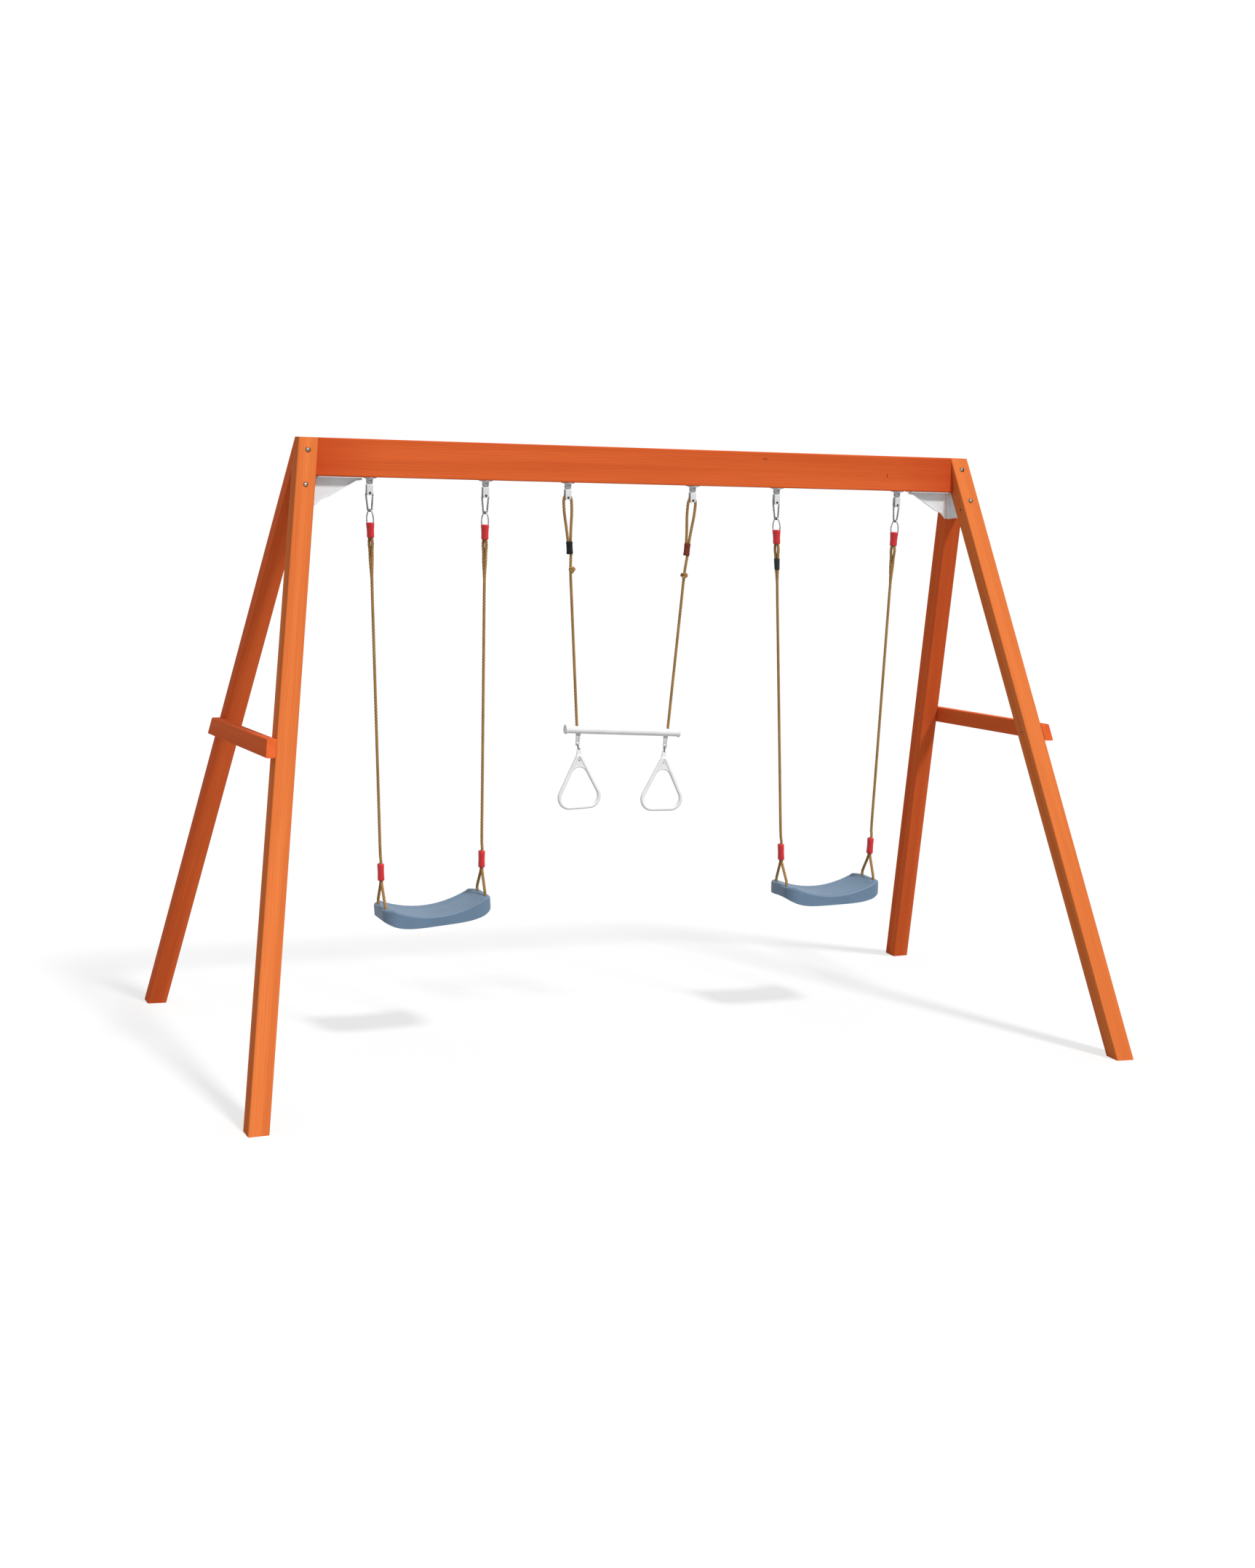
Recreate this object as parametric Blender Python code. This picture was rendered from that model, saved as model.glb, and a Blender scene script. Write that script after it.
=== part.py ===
"""Wooden swing set: a timber stand of two leaning A-frames and a beam, with two rope swings and a trapeze bar.

Metres, +Z up, the front towards -Y. The origin is on the ground, under the middle of the beam.
Each swing and the trapeze hang from a pair of hangers and turn about their bearing axis, along X.
"""

import math

import bmesh
import bpy
import numpy as np
from mathutils import Matrix, Vector

GAP = 0.0003  # clearance between faces that meet
FIT = 0.0006  # clearance round a rope in the hole that it passes through

# Stand
STAND_HEIGHT = 2.200
BEAM_LENGTH = 2.508  # at its top; its ends are cut along the lean of the legs
BEAM_HEIGHT = 0.132
BEAM_DEPTH = 0.055
LEG_WIDTH = 0.070  # across the leg, in the plane of its A-frame
LEG_THICKNESS = 0.070  # square to the plane of its A-frame
SIDE_LEAN = math.radians(9.15)  # how far each A-frame leans out at its feet
LEG_SPREAD = math.radians(21.3)  # how far each leg stands out from the middle of its A-frame
TIMBER_ROUNDING = 0.004
BRACE_HEIGHT = 0.062
BRACE_THICKNESS = 0.033
BRACE_LEVEL = 1.159  # middle of the brace above the ground
BRACE_FALL = math.radians(2.6)  # towards the back
BRACE_REAR_SETBACK = 0.024  # of its back end, from the outer face of the leg

# Corner bracket: bent steel sheet between the legs, with a gusset under the beam
SHEET = 0.003
BRACKET_REACH = 0.162  # of the gusset, inwards from the end of the beam
BRACKET_DROP = 0.104  # of the bent sheet, below the beam
BRACKET_RISE = 0.011  # of the bent sheet's foot, from its fold to the legs
BRACKET_FOLD = 0.025  # of the fold, inwards from the inner faces of the legs
BRACKET_TONGUE = 0.014  # of the sheet, outwards past the middle of the legs
BRACKET_LIP = 0.012
BRACKET_TIP = 0.009

# Bolts
BOLT_DIAMETER = 0.008
BOLT_HEAD_DIAMETER = 0.017
BOLT_HEAD_HEIGHT = 0.006
NUT_DIAMETER = 0.013
NUT_HEIGHT = 0.0065
APEX_BOLT_DROP = 0.043  # below the top of the stand
BRACKET_BOLT_DROP = 0.160
SPOT_FACE_DIAMETER = 0.019

# Hanger: a dished base screwed up into the beam, and a clevis that turns in it
BASE_RADIUS = 0.024
BASE_RIM = 0.0025
BASE_DISH = 0.009
STUD_DIAMETER = 0.010
STUD_LENGTH = 0.060
AXLE_DROP = 0.0155  # hinge axis below the beam
AXLE_DIAMETER = 0.006
CHEEK_SPACING = 0.0125
CHEEK_THICKNESS = 0.0042
CHEEK_RADIUS = 0.0078
BARREL_RADIUS = 0.0058
CLEVIS_WIDTH = 0.022
CLEVIS_THROAT = 0.014  # between the two plates
CLEVIS_PLATE = 0.0035
CLEVIS_CROWN = 0.0085  # top of the crown below the hinge axis
PIN_DROP = 0.0395  # below the hinge axis
PIN_DIAMETER = 0.007
PIN_HEAD_DIAMETER = 0.010
PIN_HEAD_HEIGHT = 0.002

# Snap hook
HOOK_WIRE = 0.006
HOOK_LENGTH = 0.0705  # between the middles of the wire at both ends
HOOK_TOP_RADIUS = 0.0115
HOOK_FOOT_RADIUS = 0.0078
HOOK_TURN = math.radians(12)  # of its plane, about the rope's line
GATE_START = 0.10  # share of the straight side above the gate
GATE_LENGTH = 0.036
GATE_TIP_GAP = 0.0006
TONGUE_THICKNESS = 0.0022
RIVET_DIAMETER = 0.0022

# Eye ring and the sleeve moulded round it
RING_WIRE = 0.005
RING_HALF_WIDTH = 0.0150
RING_HALF_HEIGHT = 0.030
RING_TURN = math.radians(-55)
SLEEVE_HEIGHT = 0.053
SLEEVE_COVER = 0.014  # of the ring's foot
SLEEVE_TOP_HALF = (0.0160, 0.0108)
SLEEVE_FOOT_HALF = (0.0145, 0.0100)

# Ropes
ROPE_DIAMETER = 0.010
ROPE_SIDES_RESOLUTION = 2
ROPE_STEP = 0.120  # longest run between points on a rope
ROPE_BEND = math.radians(30)  # turned between points on a bent one
ROPE_SOCKET = 0.016  # of rope inside a sleeve
EYE_SPREAD = 0.0075  # each side, where the rope's two parts open out below the sleeve
TAIL_LENGTH = 0.110  # of the rope's short part, from the sleeve into the splice
SPLICE_LEVELS = (0.066, 0.100, 0.150)  # below the sleeve
SPLICE_HALF = ((0.0106, 0.0057), (0.0086, 0.0056), (0.0056, 0.0055))

# Swings
LEFT_SWING_HANGERS = (0.190 - BEAM_LENGTH / 2, 0.619 - BEAM_LENGTH / 2)
RIGHT_SWING_HANGERS = (BEAM_LENGTH / 2 - 0.731, BEAM_LENGTH / 2 - 0.214)
LEFT_SEAT_CENTRE = 0.454 - BEAM_LENGTH / 2
RIGHT_SEAT_CENTRE = BEAM_LENGTH / 2 - 0.442
SEAT_WIDTH = 0.410
SEAT_DEPTH = 0.195
SEAT_LEVEL = 0.544  # top of the seat's ends above the ground
SEAT_SAG = 0.040  # how far the middle lies below the ends
SEAT_WALL = 0.004
SEAT_SKIRT = 0.042
SEAT_CORNER = 0.050
EAR_LENGTH = 0.052  # flat end where the ropes pass
EAR_STEP = 0.009
SEAT_ROPE_SPACING = SEAT_WIDTH - 0.030
SEAT_HOLE_SPREAD = 0.090  # front hole to back hole
RIB_THICKNESS = 0.003
RIB_DEPTH = 0.014
RIB_SPACING = SEAT_WIDTH / 4.1
LOWER_SLEEVE_RISE = 0.127  # middle of the lower sleeve above the seat's holes, along the rope
LOWER_SLEEVE_HEIGHT = 0.062
LOWER_SLEEVE_HALF = (0.0122, 0.0160)
LOWER_SLEEVE_BORE = (0.0064, 0.0122)
LEFT_SEAT_TILT = math.radians(5.0)
RIGHT_SEAT_TILT = math.radians(1.5)

# Trapeze
TRAPEZE_HANGERS = (-0.3200, 0.1760)
BAR_CENTRE = -0.0705
BAR_LEVEL = 1.1525
BAR_LENGTH = 0.463
BAR_RADIUS = 0.0150
BAR_FLANGE_RADIUS = 0.0185
BAR_FLANGE_LENGTH = 0.011
BAR_ROPE_SPACING = 0.366
BAR_SOCKET = 0.021
BAR_TILT = math.radians(-2.6)
LOOP_RADIUS = 0.0122  # of the rope's loop over the clevis pin
CRIMP_DROP = 0.182  # middle of the crimp below the clevis pin
CRIMP_HEIGHT = 0.047
CRIMP_HALF = (0.0125, 0.0088)
KNOT_DROP = 0.281
KNOT_RADIUS = 0.0125
STRAP_SPACING = 0.354
STRAP_WIDTH = 0.018
STRAP_THICKNESS = 0.004
STRAP_DROP = 0.0575  # axis of the strap's round foot below the middle of the bar
STRAP_FOOT_RADIUS = 0.0025
STRAP_WINDOW = (0.0095, 0.0115)  # width, height above the axis

# Ring grips
LINK_WIRE = 0.004
LINK_RADIUS = 0.0049
LINK_STRAIGHT = 0.0125
GRIP_WIDTH = 0.172
GRIP_HEIGHT = 0.208  # of the round-edged ring, without its tab
GRIP_RIM = 0.0145
GRIP_THICKNESS = 0.014
GRIP_APEX_RADIUS = 0.015
GRIP_CORNER_RADIUS = 0.047
GRIP_OPENING_APEX_RADIUS = 0.031
LEFT_LEANS = (math.radians(-22), math.radians(-2.5))  # how the left link and its grip hang
RIGHT_LEANS = (math.radians(8), math.radians(1))
TAB_THICKNESS = 0.005
TAB_RADIUS = 0.0072
TAB_HOLE = 0.0070
TAB_REACH = 0.018  # of the tab's hole above the ring

UNDERSIDE = STAND_HEIGHT - BEAM_HEIGHT
HINGE_LEVEL = UNDERSIDE - AXLE_DROP
PIN_LEVEL = HINGE_LEVEL - PIN_DROP
TOP_HALF_SPAN = BEAM_LENGTH / 2 + GAP + LEG_THICKNESS / 2 / math.cos(SIDE_LEAN)
ROPE_RADIUS = ROPE_DIAMETER / 2

PAINTED_STEEL = ("white_painted_steel", (0.86, 0.87, 0.88), 0.35, 0.0)
WHITE_PLASTIC = ("white_plastic", (0.88, 0.88, 0.88), 0.38, 0.0)
TIMBER = ("stained_timber", (0.60, 0.19, 0.055), 0.55, 0.0)
ZINC = ("zinc_steel", (0.60, 0.60, 0.60), 0.30, 1.0)
RED_PLASTIC = ("red_plastic", (0.68, 0.02, 0.03), 0.40, 0.0)
BLUE_PLASTIC = ("blue_plastic", (0.15, 0.24, 0.36), 0.45, 0.0)
ROPE_FIBRE = ("tan_rope", (0.38, 0.24, 0.09), 0.85, 0.0)


def clear_scene():
    for item in list(bpy.data.objects):
        bpy.data.objects.remove(item, do_unlink=True)


def material(recipe):
    """The material of that name, made once."""
    name, colour, roughness, metallic = recipe
    made = bpy.data.materials.get(name)
    if made is None:
        made = bpy.data.materials.new(name)
        made.use_nodes = True
        shader = made.node_tree.nodes["Principled BSDF"]
        shader.inputs["Base Color"].default_value = (*colour, 1)
        shader.inputs["Roughness"].default_value = roughness
        shader.inputs["Metallic"].default_value = metallic
        made.diffuse_color = (*colour, 1)
    return made


def add(name, mesh, recipe, parent=None, place=None):
    """A piece of the object, in the place given, under its parent."""
    piece = bpy.data.objects.new(name, mesh)
    bpy.context.scene.collection.objects.link(piece)
    mesh.materials.clear()
    mesh.materials.append(material(recipe))
    piece.parent = parent
    if place is not None:
        piece.matrix_basis = place
    return piece


def helper(name, mesh, parent=None, place=None):
    """A shape that only cuts or joins another."""
    shape = bpy.data.objects.new(name, mesh)
    bpy.context.scene.collection.objects.link(shape)
    shape.parent = parent
    if place is not None:
        shape.matrix_basis = place
    shape.hide_render = True
    shape.display_type = "WIRE"
    return shape


def boolean(piece, shape, operation="DIFFERENCE"):
    modifier = piece.modifiers.new(shape.name, "BOOLEAN")
    modifier.object = shape
    modifier.operation = operation
    modifier.solver = "EXACT"


def finished(bm, name, smooth_angle=None):
    """The mesh of a bmesh, with its faces turned outwards."""
    bmesh.ops.recalc_face_normals(bm, faces=bm.faces)
    mesh = bpy.data.meshes.new(name)
    bm.to_mesh(mesh)
    bm.free()
    if smooth_angle is not None:
        mesh.shade_smooth()
        mesh.set_sharp_from_angle(angle=math.radians(smooth_angle))
    return mesh


def axis_at(name, location):
    """An empty on a joint's axis, which carries what turns with it."""
    empty = bpy.data.objects.new(name, None)
    bpy.context.scene.collection.objects.link(empty)
    empty.location = location
    return empty


def arc(centre, radius, start, end, steps):
    """Points on an arc in a plane, from start to end in degrees."""
    angles = np.radians(np.linspace(start, end, steps + 1))
    return [(centre[0] + radius * math.cos(a), centre[1] + radius * math.sin(a)) for a in angles]


def prism(name, outline, low, high, to_space, smooth_angle=None):
    """An outline drawn in a plane, extruded from low to high. to_space turns (a, b, height) into a point."""
    bm = bmesh.new()
    corners = [bm.verts.new(to_space(a, b, low)) for a, b in outline]
    base = bm.faces.new(corners)
    grown = bmesh.ops.extrude_face_region(bm, geom=[base])["geom"]
    for vertex, (a, b) in zip([v for v in grown if isinstance(v, bmesh.types.BMVert)], outline):
        vertex.co = to_space(a, b, high)
    return finished(bm, name, smooth_angle)


def lofted(name, sections, smooth_angle=None):
    """A closed solid through sections with as many points each, its ends filled."""
    bm = bmesh.new()
    rings = [[bm.verts.new(point) for point in section] for section in sections]
    count = len(rings[0])
    for near, far in zip(rings, rings[1:]):
        for i in range(count):
            j = (i + 1) % count
            bm.faces.new((near[i], near[j], far[j], far[i]))
    bm.faces.new(rings[0])
    bm.faces.new(list(reversed(rings[-1])))
    bmesh.ops.triangulate(bm, faces=bm.faces)
    return finished(bm, name, smooth_angle)


def turned(name, profile, steps, smooth_angle=35, turn=None):
    """A solid turned about Z from (radius, height) points that start and end on the axis."""
    bm = bmesh.new()
    line = [bm.verts.new((radius, 0, height)) for radius, height in profile]
    edges = [bm.edges.new(pair) for pair in zip(line, line[1:])]
    bmesh.ops.spin(
        bm, geom=line + edges, axis=(0, 0, 1), cent=(0, 0, 0), angle=2 * math.pi, steps=steps, use_merge=True
    )
    bmesh.ops.remove_doubles(bm, verts=bm.verts, dist=1e-6)
    if turn is not None:
        bmesh.ops.transform(bm, matrix=turn, verts=bm.verts)
    return finished(bm, name, smooth_angle)


def rod(name, start, end, radius, steps=12):
    """A plain cylinder between two points."""
    start, end = Vector(start), Vector(end)
    along = end - start
    place = Matrix.Translation(start) @ along.to_track_quat("Z", "Y").to_matrix().to_4x4()
    profile = [(0, 0), (radius, 0), (radius, along.length), (0, along.length)]
    return turned(name, profile, steps, turn=place)


def bored(start, end, radius, steps=12):
    """The cutter of a round hole whose flats stay clear of a pin or rope of that radius."""
    return rod("hole", start, end, radius / math.cos(math.pi / steps), steps)


def tube(name, points, radius, closed=False, resolution=ROPE_SIDES_RESOLUTION):
    """A round wire or rope along points, as a mesh."""
    curve = bpy.data.curves.new(name, "CURVE")
    curve.dimensions = "3D"
    curve.bevel_depth = radius
    curve.bevel_resolution = resolution
    curve.use_fill_caps = not closed
    spline = curve.splines.new("POLY")
    spline.points.add(len(points) - 1)
    for target, point in zip(spline.points, points):
        target.co = (*point, 1)
    spline.use_cyclic_u = closed
    guide = bpy.data.objects.new(name, curve)
    bpy.context.scene.collection.objects.link(guide)
    graph = bpy.context.evaluated_depsgraph_get()
    mesh = bpy.data.meshes.new_from_object(guide.evaluated_get(graph))
    bpy.data.objects.remove(guide, do_unlink=True)
    bm = bmesh.new()
    bm.from_mesh(mesh)
    bmesh.ops.remove_doubles(bm, verts=bm.verts, dist=1e-6)
    return finished(bm, name, 60)


def smooth_route(points):
    """Points on a smooth curve through the route's own points, closer together where it bends."""
    route = np.array([tuple(p) for p in points], float)
    padded = np.vstack([2 * route[0] - route[1], route, 2 * route[-1] - route[-2]])
    line = []
    for before, start, end, after in zip(padded, padded[1:], padded[2:], padded[3:]):
        out, into = (end - before) / 2, (after - start) / 2
        turn = out.dot(into) / (np.linalg.norm(out) * np.linalg.norm(into))
        bend = math.acos(max(-1.0, min(1.0, turn)))
        count = max(1, round(bend / ROPE_BEND), math.ceil(np.linalg.norm(end - start) / ROPE_STEP))
        for t in np.arange(count) / count:
            ease = t * t * (3 - 2 * t)
            line.append(
                start + (end - start) * ease + out * t * (1 - t) ** 2 - into * t * t * (1 - t)
            )
    return np.array([*line, route[-1]])


def hang_drop(upper, lower, reach):
    """How far a loop of wire drops until it hangs in the one above, reach being their radii and the clearance."""
    upper, lower = np.array(upper, float), np.array(lower, float)

    def clearance(drop):
        moved = lower - (0, 0, drop)
        return np.linalg.norm(upper[:, None] - moved[None], axis=2).min() - reach

    low, high = 0.0, 0.020
    for _ in range(40):
        middle = (low + high) / 2
        if clearance(middle) > 0:
            low = middle
        else:
            high = middle
    return low


def dense(points, closed=True, per_side=8):
    """The same line with more points on it, for measuring."""
    points = [np.array(tuple(p), float) for p in points]
    ends = points[1:] + points[:1] if closed else points[1:]
    return [a + (b - a) * k / per_side for a, b in zip(points, ends) for k in range(per_side)]


# Stand


def frame_point(side, across, down, out):
    """A point of an A-frame's own plane, in space. down runs along the lean, out is square to it."""
    return Vector(
        (
            side * (TOP_HALF_SPAN + down * math.sin(SIDE_LEAN) + out * math.cos(SIDE_LEAN)),
            across,
            STAND_HEIGHT - down * math.cos(SIDE_LEAN) + out * math.sin(SIDE_LEAN),
        )
    )


def leg_outer(down):
    """Distance of a leg's outer face from the middle of the A-frame, down along the lean."""
    return BEAM_DEPTH / 2 + down * math.tan(LEG_SPREAD)


def leg_inner(down):
    return leg_outer(down) - LEG_WIDTH / math.cos(LEG_SPREAD)


def down_at(level, out=0.0):
    """How far down the lean a level lies, on a line that runs out from the middle of the A-frame by that much."""
    return (STAND_HEIGHT - level + out * math.sin(SIDE_LEAN)) / math.cos(SIDE_LEAN)


def cut_flat(bm, point, normal):
    """Removes what lies beyond the plane and closes the cut."""
    everything = bm.verts[:] + bm.edges[:] + bm.faces[:]
    bmesh.ops.bisect_plane(bm, geom=everything, plane_co=point, plane_no=normal, clear_outer=True, dist=1e-7)
    bmesh.ops.holes_fill(bm, edges=[edge for edge in bm.edges if edge.is_boundary])


def timber(name, sides, cuts):
    """A squared timber with rounded long edges, through four long edges given by their ends, cut at planes."""
    bm = bmesh.new()
    near = [bm.verts.new(start) for start, _ in sides]
    far = [bm.verts.new(end) for _, end in sides]
    bm.faces.new(near)
    bm.faces.new(list(reversed(far)))
    for i in range(4):
        j = (i + 1) % 4
        bm.faces.new((near[i], near[j], far[j], far[i]))
    long_edges = [bm.edges.get((a, b)) for a, b in zip(near, far)]
    bmesh.ops.bevel(bm, geom=long_edges, offset=TIMBER_ROUNDING, segments=2, profile=0.5, affect="EDGES")
    bmesh.ops.recalc_face_normals(bm, faces=bm.faces)
    for point, normal in cuts:
        cut_flat(bm, point, normal)
    bmesh.ops.triangulate(bm, faces=bm.faces)
    return finished(bm, name, 30)


def bolt_places(side, front):
    """The apex bolt's and the bracket bolt's lines in an A-frame: (head seat, direction inwards)."""
    apex_down = APEX_BOLT_DROP / math.cos(SIDE_LEAN)
    seat = leg_outer(apex_down - SPOT_FACE_DIAMETER / 2)
    apex = frame_point(side, front * seat, apex_down, 0)
    bracket_down = BRACKET_BOLT_DROP / math.cos(SIDE_LEAN)
    face = frame_point(side, front * leg_outer(bracket_down), bracket_down, 0)
    ahead = frame_point(
        side,
        front * (leg_outer(bracket_down) - math.cos(LEG_SPREAD)),
        bracket_down + math.sin(LEG_SPREAD),
        0,
    )
    return apex, face, (ahead - face).normalized()


def leg(name, side, front):
    """front is -1 for a front leg and 1 for a rear leg."""
    start, end = -0.2, down_at(0) + 0.2
    half = LEG_THICKNESS / 2
    sides = [
        (frame_point(side, front * across(start), start, out), frame_point(side, front * across(end), end, out))
        for across, out in ((leg_outer, -half), (leg_outer, half), (leg_inner, half), (leg_inner, -half))
    ]
    cuts = [
        ((0, 0, STAND_HEIGHT), (0, 0, 1)),
        ((0, 0, 0), (0, 0, -1)),
        ((0, front * GAP / 2, 0), (0, -front, 0)),
    ]
    piece = add(name, timber(name, sides, cuts), TIMBER)
    apex, face, inwards = bolt_places(side, front)
    hole = BOLT_DIAMETER / 2 + GAP
    beyond = apex + Vector((0, front * 0.05, 0))
    drilled = bored((apex.x, -front * 0.01, apex.z), beyond, hole)
    boolean(piece, helper(name + "_apex_hole", drilled))
    spot = rod("spot", apex, beyond, SPOT_FACE_DIAMETER / 2, 14)
    boolean(piece, helper(name + "_spot_face", spot))
    drilled = bored(face - inwards * 0.02, face + inwards * (LEG_WIDTH + 0.02), hole)
    boolean(piece, helper(name + "_bracket_hole", drilled))
    return piece


def domed_bolt(name, seat, inwards, grip, far_dome):
    """A bolt from its head's seat inwards, with a nut or a second dome at the end of its grip."""
    radius, head, nut = BOLT_DIAMETER / 2, BOLT_HEAD_DIAMETER / 2, NUT_DIAMETER / 2
    dome = [(head * math.cos(a), -GAP - BOLT_HEAD_HEIGHT * math.sin(a)) for a in (0.8, 0)]
    profile = [(0, -GAP - BOLT_HEAD_HEIGHT), *dome, (head, -GAP), (radius, -GAP)]
    if far_dome:
        profile += [(r, 2 * grip / 2 - z) for r, z in reversed(profile)]
    else:
        profile += [(radius, grip + GAP), (nut, grip + GAP), (nut, grip + GAP + NUT_HEIGHT)]
        profile += [(radius, grip + GAP + NUT_HEIGHT), (radius, grip + 0.010), (0, grip + 0.010)]
    place = Matrix.Translation(seat) @ Vector(inwards).to_track_quat("Z", "Y").to_matrix().to_4x4()
    return add(name, turned(name, profile, 10, turn=place), ZINC)


def brace(name, side):
    inner = LEG_THICKNESS / 2 + GAP
    outer = inner + BRACE_THICKNESS
    sides = []
    for height, out in ((-1, inner), (-1, outer), (1, outer), (1, inner)):
        line = []
        for across in (-1.2, 1.2):
            level = BRACE_LEVEL + height * BRACE_HEIGHT / 2 - across * math.tan(BRACE_FALL)
            line.append(frame_point(side, across, down_at(level, out), out))
        sides.append(tuple(line))
    middle = down_at(BRACE_LEVEL)
    cuts = []
    for front, setback in ((-1, 0), (1, BRACE_REAR_SETBACK)):
        end = frame_point(side, front * (leg_outer(middle) - setback), middle, inner)
        slope = frame_point(side, front * math.cos(LEG_SPREAD), -math.sin(LEG_SPREAD), 0) - frame_point(side, 0, 0, 0)
        cuts.append((end, slope))
    return add(name, timber(name, sides, cuts), TIMBER)


def corner_bracket(name, side):
    """Bent sheet that fills the space between the legs, with a gusset, its lip and a flange under the beam."""
    top, foot = UNDERSIDE - GAP, UNDERSIDE - BRACKET_DROP
    legs, fold = -LEG_THICKNESS / 2, -LEG_THICKNESS / 2 - BRACKET_FOLD
    bend = legs - BRACKET_FOLD / 2
    # (share of the space between the legs, how far inside it, out, rise of the foot)
    outside = [(1, 0, BRACKET_TONGUE, 1), (1, 0, legs, 1), (0.22, 0, bend, 0.25), (0, 0, fold, 0)]
    inside = [(1, 1, BRACKET_TONGUE, 1), (1, 1, legs + SHEET / 3, 1), (0.22, 1, bend + 1.2 * SHEET, 0.25)]
    inside += [(0, 0, fold + 1.7 * SHEET, 0)]
    outline = [(-1, *corner) for corner in outside] + [(1, *corner) for corner in reversed(outside[:-1])]
    outline += [(1, *corner) for corner in inside] + [(-1, *corner) for corner in reversed(inside[:-1])]
    sections = []
    for level in (top, foot):
        points = []
        for hand, share, inset, out, rise in outline:
            height = level if level == top else level + rise * BRACKET_RISE
            down = down_at(height, out)
            across = share * (leg_inner(down) - GAP) - inset * SHEET * share
            points.append(frame_point(side, hand * max(across, 0.0007 * share), down, out))
        sections.append(points)
    piece = add(name, lofted(name, sections), PAINTED_STEEL)

    def upright(a, b, height):
        return (side * a, height, b)

    tip = BEAM_LENGTH / 2 - BRACKET_REACH
    end_top = abs(frame_point(side, 0, down_at(top, fold), fold).x) + SHEET
    end_foot = abs(frame_point(side, 0, down_at(foot, fold), fold).x) + SHEET
    slope = [(tip, top - BRACKET_TIP), (tip + 0.022, top - BRACKET_TIP - 0.003), (end_foot - 0.058, foot + 0.034)]
    slope += [(end_foot - 0.031, foot + 0.024), (end_foot - 0.019, foot + 0.012), (end_foot - 0.010, foot + 0.0035)]
    web = [(tip, top - SHEET / 2), *slope, (end_foot, foot + 0.003), (end_top, top - SHEET / 2)]
    boolean(piece, helper(name + "_web", prism("web", web, -SHEET / 2, SHEET / 2, upright)), "UNION")
    lip = slope + [(a, b - SHEET) for a, b in reversed(slope)]
    lip = [(a, b + SHEET / 2) for a, b in lip]
    boolean(piece, helper(name + "_lip", prism("lip", lip, -BRACKET_LIP / 2, BRACKET_LIP / 2, upright)), "UNION")
    flange = [(tip, top), (tip, top - SHEET), (BEAM_LENGTH / 2, top - SHEET), (BEAM_LENGTH / 2, top)]
    half = BEAM_DEPTH / 2 - SHEET
    boolean(piece, helper(name + "_flange", prism("flange", flange, -half, half, upright)), "UNION")
    for front in (-1, 1):
        _, face, inwards = bolt_places(side, front)
        hole = bored(face + inwards * (LEG_WIDTH - 0.002), face + inwards * (LEG_WIDTH + 0.008), 0.0044)
        boolean(piece, helper(f"{name}_hole_{front}", hole))
    return piece


def stand():
    half_depth = BEAM_DEPTH / 2
    sides = []
    for y, z in ((-half_depth, UNDERSIDE), (half_depth, UNDERSIDE), (half_depth, STAND_HEIGHT), (-half_depth, STAND_HEIGHT)):
        reach = BEAM_LENGTH / 2 + (STAND_HEIGHT - z) * math.tan(SIDE_LEAN)
        sides.append(((-reach, y, z), (reach, y, z)))
    beam = add("beam", timber("beam", sides, []), TIMBER)
    for set_name, hangers in HANGING_SETS:
        for name, x in zip(("left", "right"), hangers):
            bore = bored((x, 0, UNDERSIDE - 0.01), (x, 0, UNDERSIDE + STUD_LENGTH + GAP), STUD_DIAMETER / 2 + GAP, 10)
            boolean(beam, helper(f"{set_name}_{name}_bore", bore))
    for side_name, side in (("left", -1), ("right", 1)):
        for end_name, front in (("front", -1), ("rear", 1)):
            leg(f"{end_name}_{side_name}_leg", side, front)
            _, face, inwards = bolt_places(side, front)
            domed_bolt(f"{end_name}_{side_name}_bracket_bolt", face, inwards, LEG_WIDTH + GAP + SHEET, False)
        apex, _, _ = bolt_places(side, -1)
        domed_bolt(f"{side_name}_apex_bolt", apex, (0, 1, 0), -2 * apex.y, True)
        brace(f"{side_name}_brace", side)
        corner_bracket(f"{side_name}_corner_bracket", side)


# Hangers


def hanger_base(name, x):
    dish = [(BASE_RADIUS, -GAP), (BASE_RADIUS, -GAP - BASE_RIM)]
    for angle in (45,):
        turn = math.radians(angle)
        radius = BASE_RADIUS - (BASE_RADIUS - 0.0125) * math.sin(turn)
        dish.append((radius, -GAP - BASE_RIM - (BASE_DISH - BASE_RIM) * (1 - math.cos(turn))))
    profile = [(0, STUD_LENGTH), (STUD_DIAMETER / 2, STUD_LENGTH - 0.008)]
    profile += [(STUD_DIAMETER / 2, -GAP), *dish, (0.0115, -BASE_DISH), (0, -BASE_DISH)]
    place = Matrix.Translation((x, 0, UNDERSIDE))
    piece = add(name, turned(name, profile, 12), PAINTED_STEEL, place=place)

    def across(a, b, height):
        return (height, a, b)

    outline = [(-CHEEK_RADIUS, -BASE_DISH + 0.002), (-CHEEK_RADIUS, -AXLE_DROP)]
    outline += arc((0, -AXLE_DROP), CHEEK_RADIUS, 180, 360, 5)[1:-1]
    outline += [(CHEEK_RADIUS, -AXLE_DROP), (CHEEK_RADIUS, -BASE_DISH + 0.002)]
    inner = CHEEK_SPACING / 2
    for end in (-1, 1):
        low, high = sorted((end * inner, end * (inner + CHEEK_THICKNESS)))
        cheek = prism("cheek", outline, low, high, across)
        boolean(piece, helper(f"{name}_cheek_{end}", cheek, place=place), "UNION")
    reach = inner + CHEEK_THICKNESS + 0.0012
    axle = rod("axle", (-reach, 0, -AXLE_DROP), (reach, 0, -AXLE_DROP), AXLE_DIAMETER / 2, 8)
    boolean(piece, helper(name + "_axle", axle, place=place), "UNION")
    return piece


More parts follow.
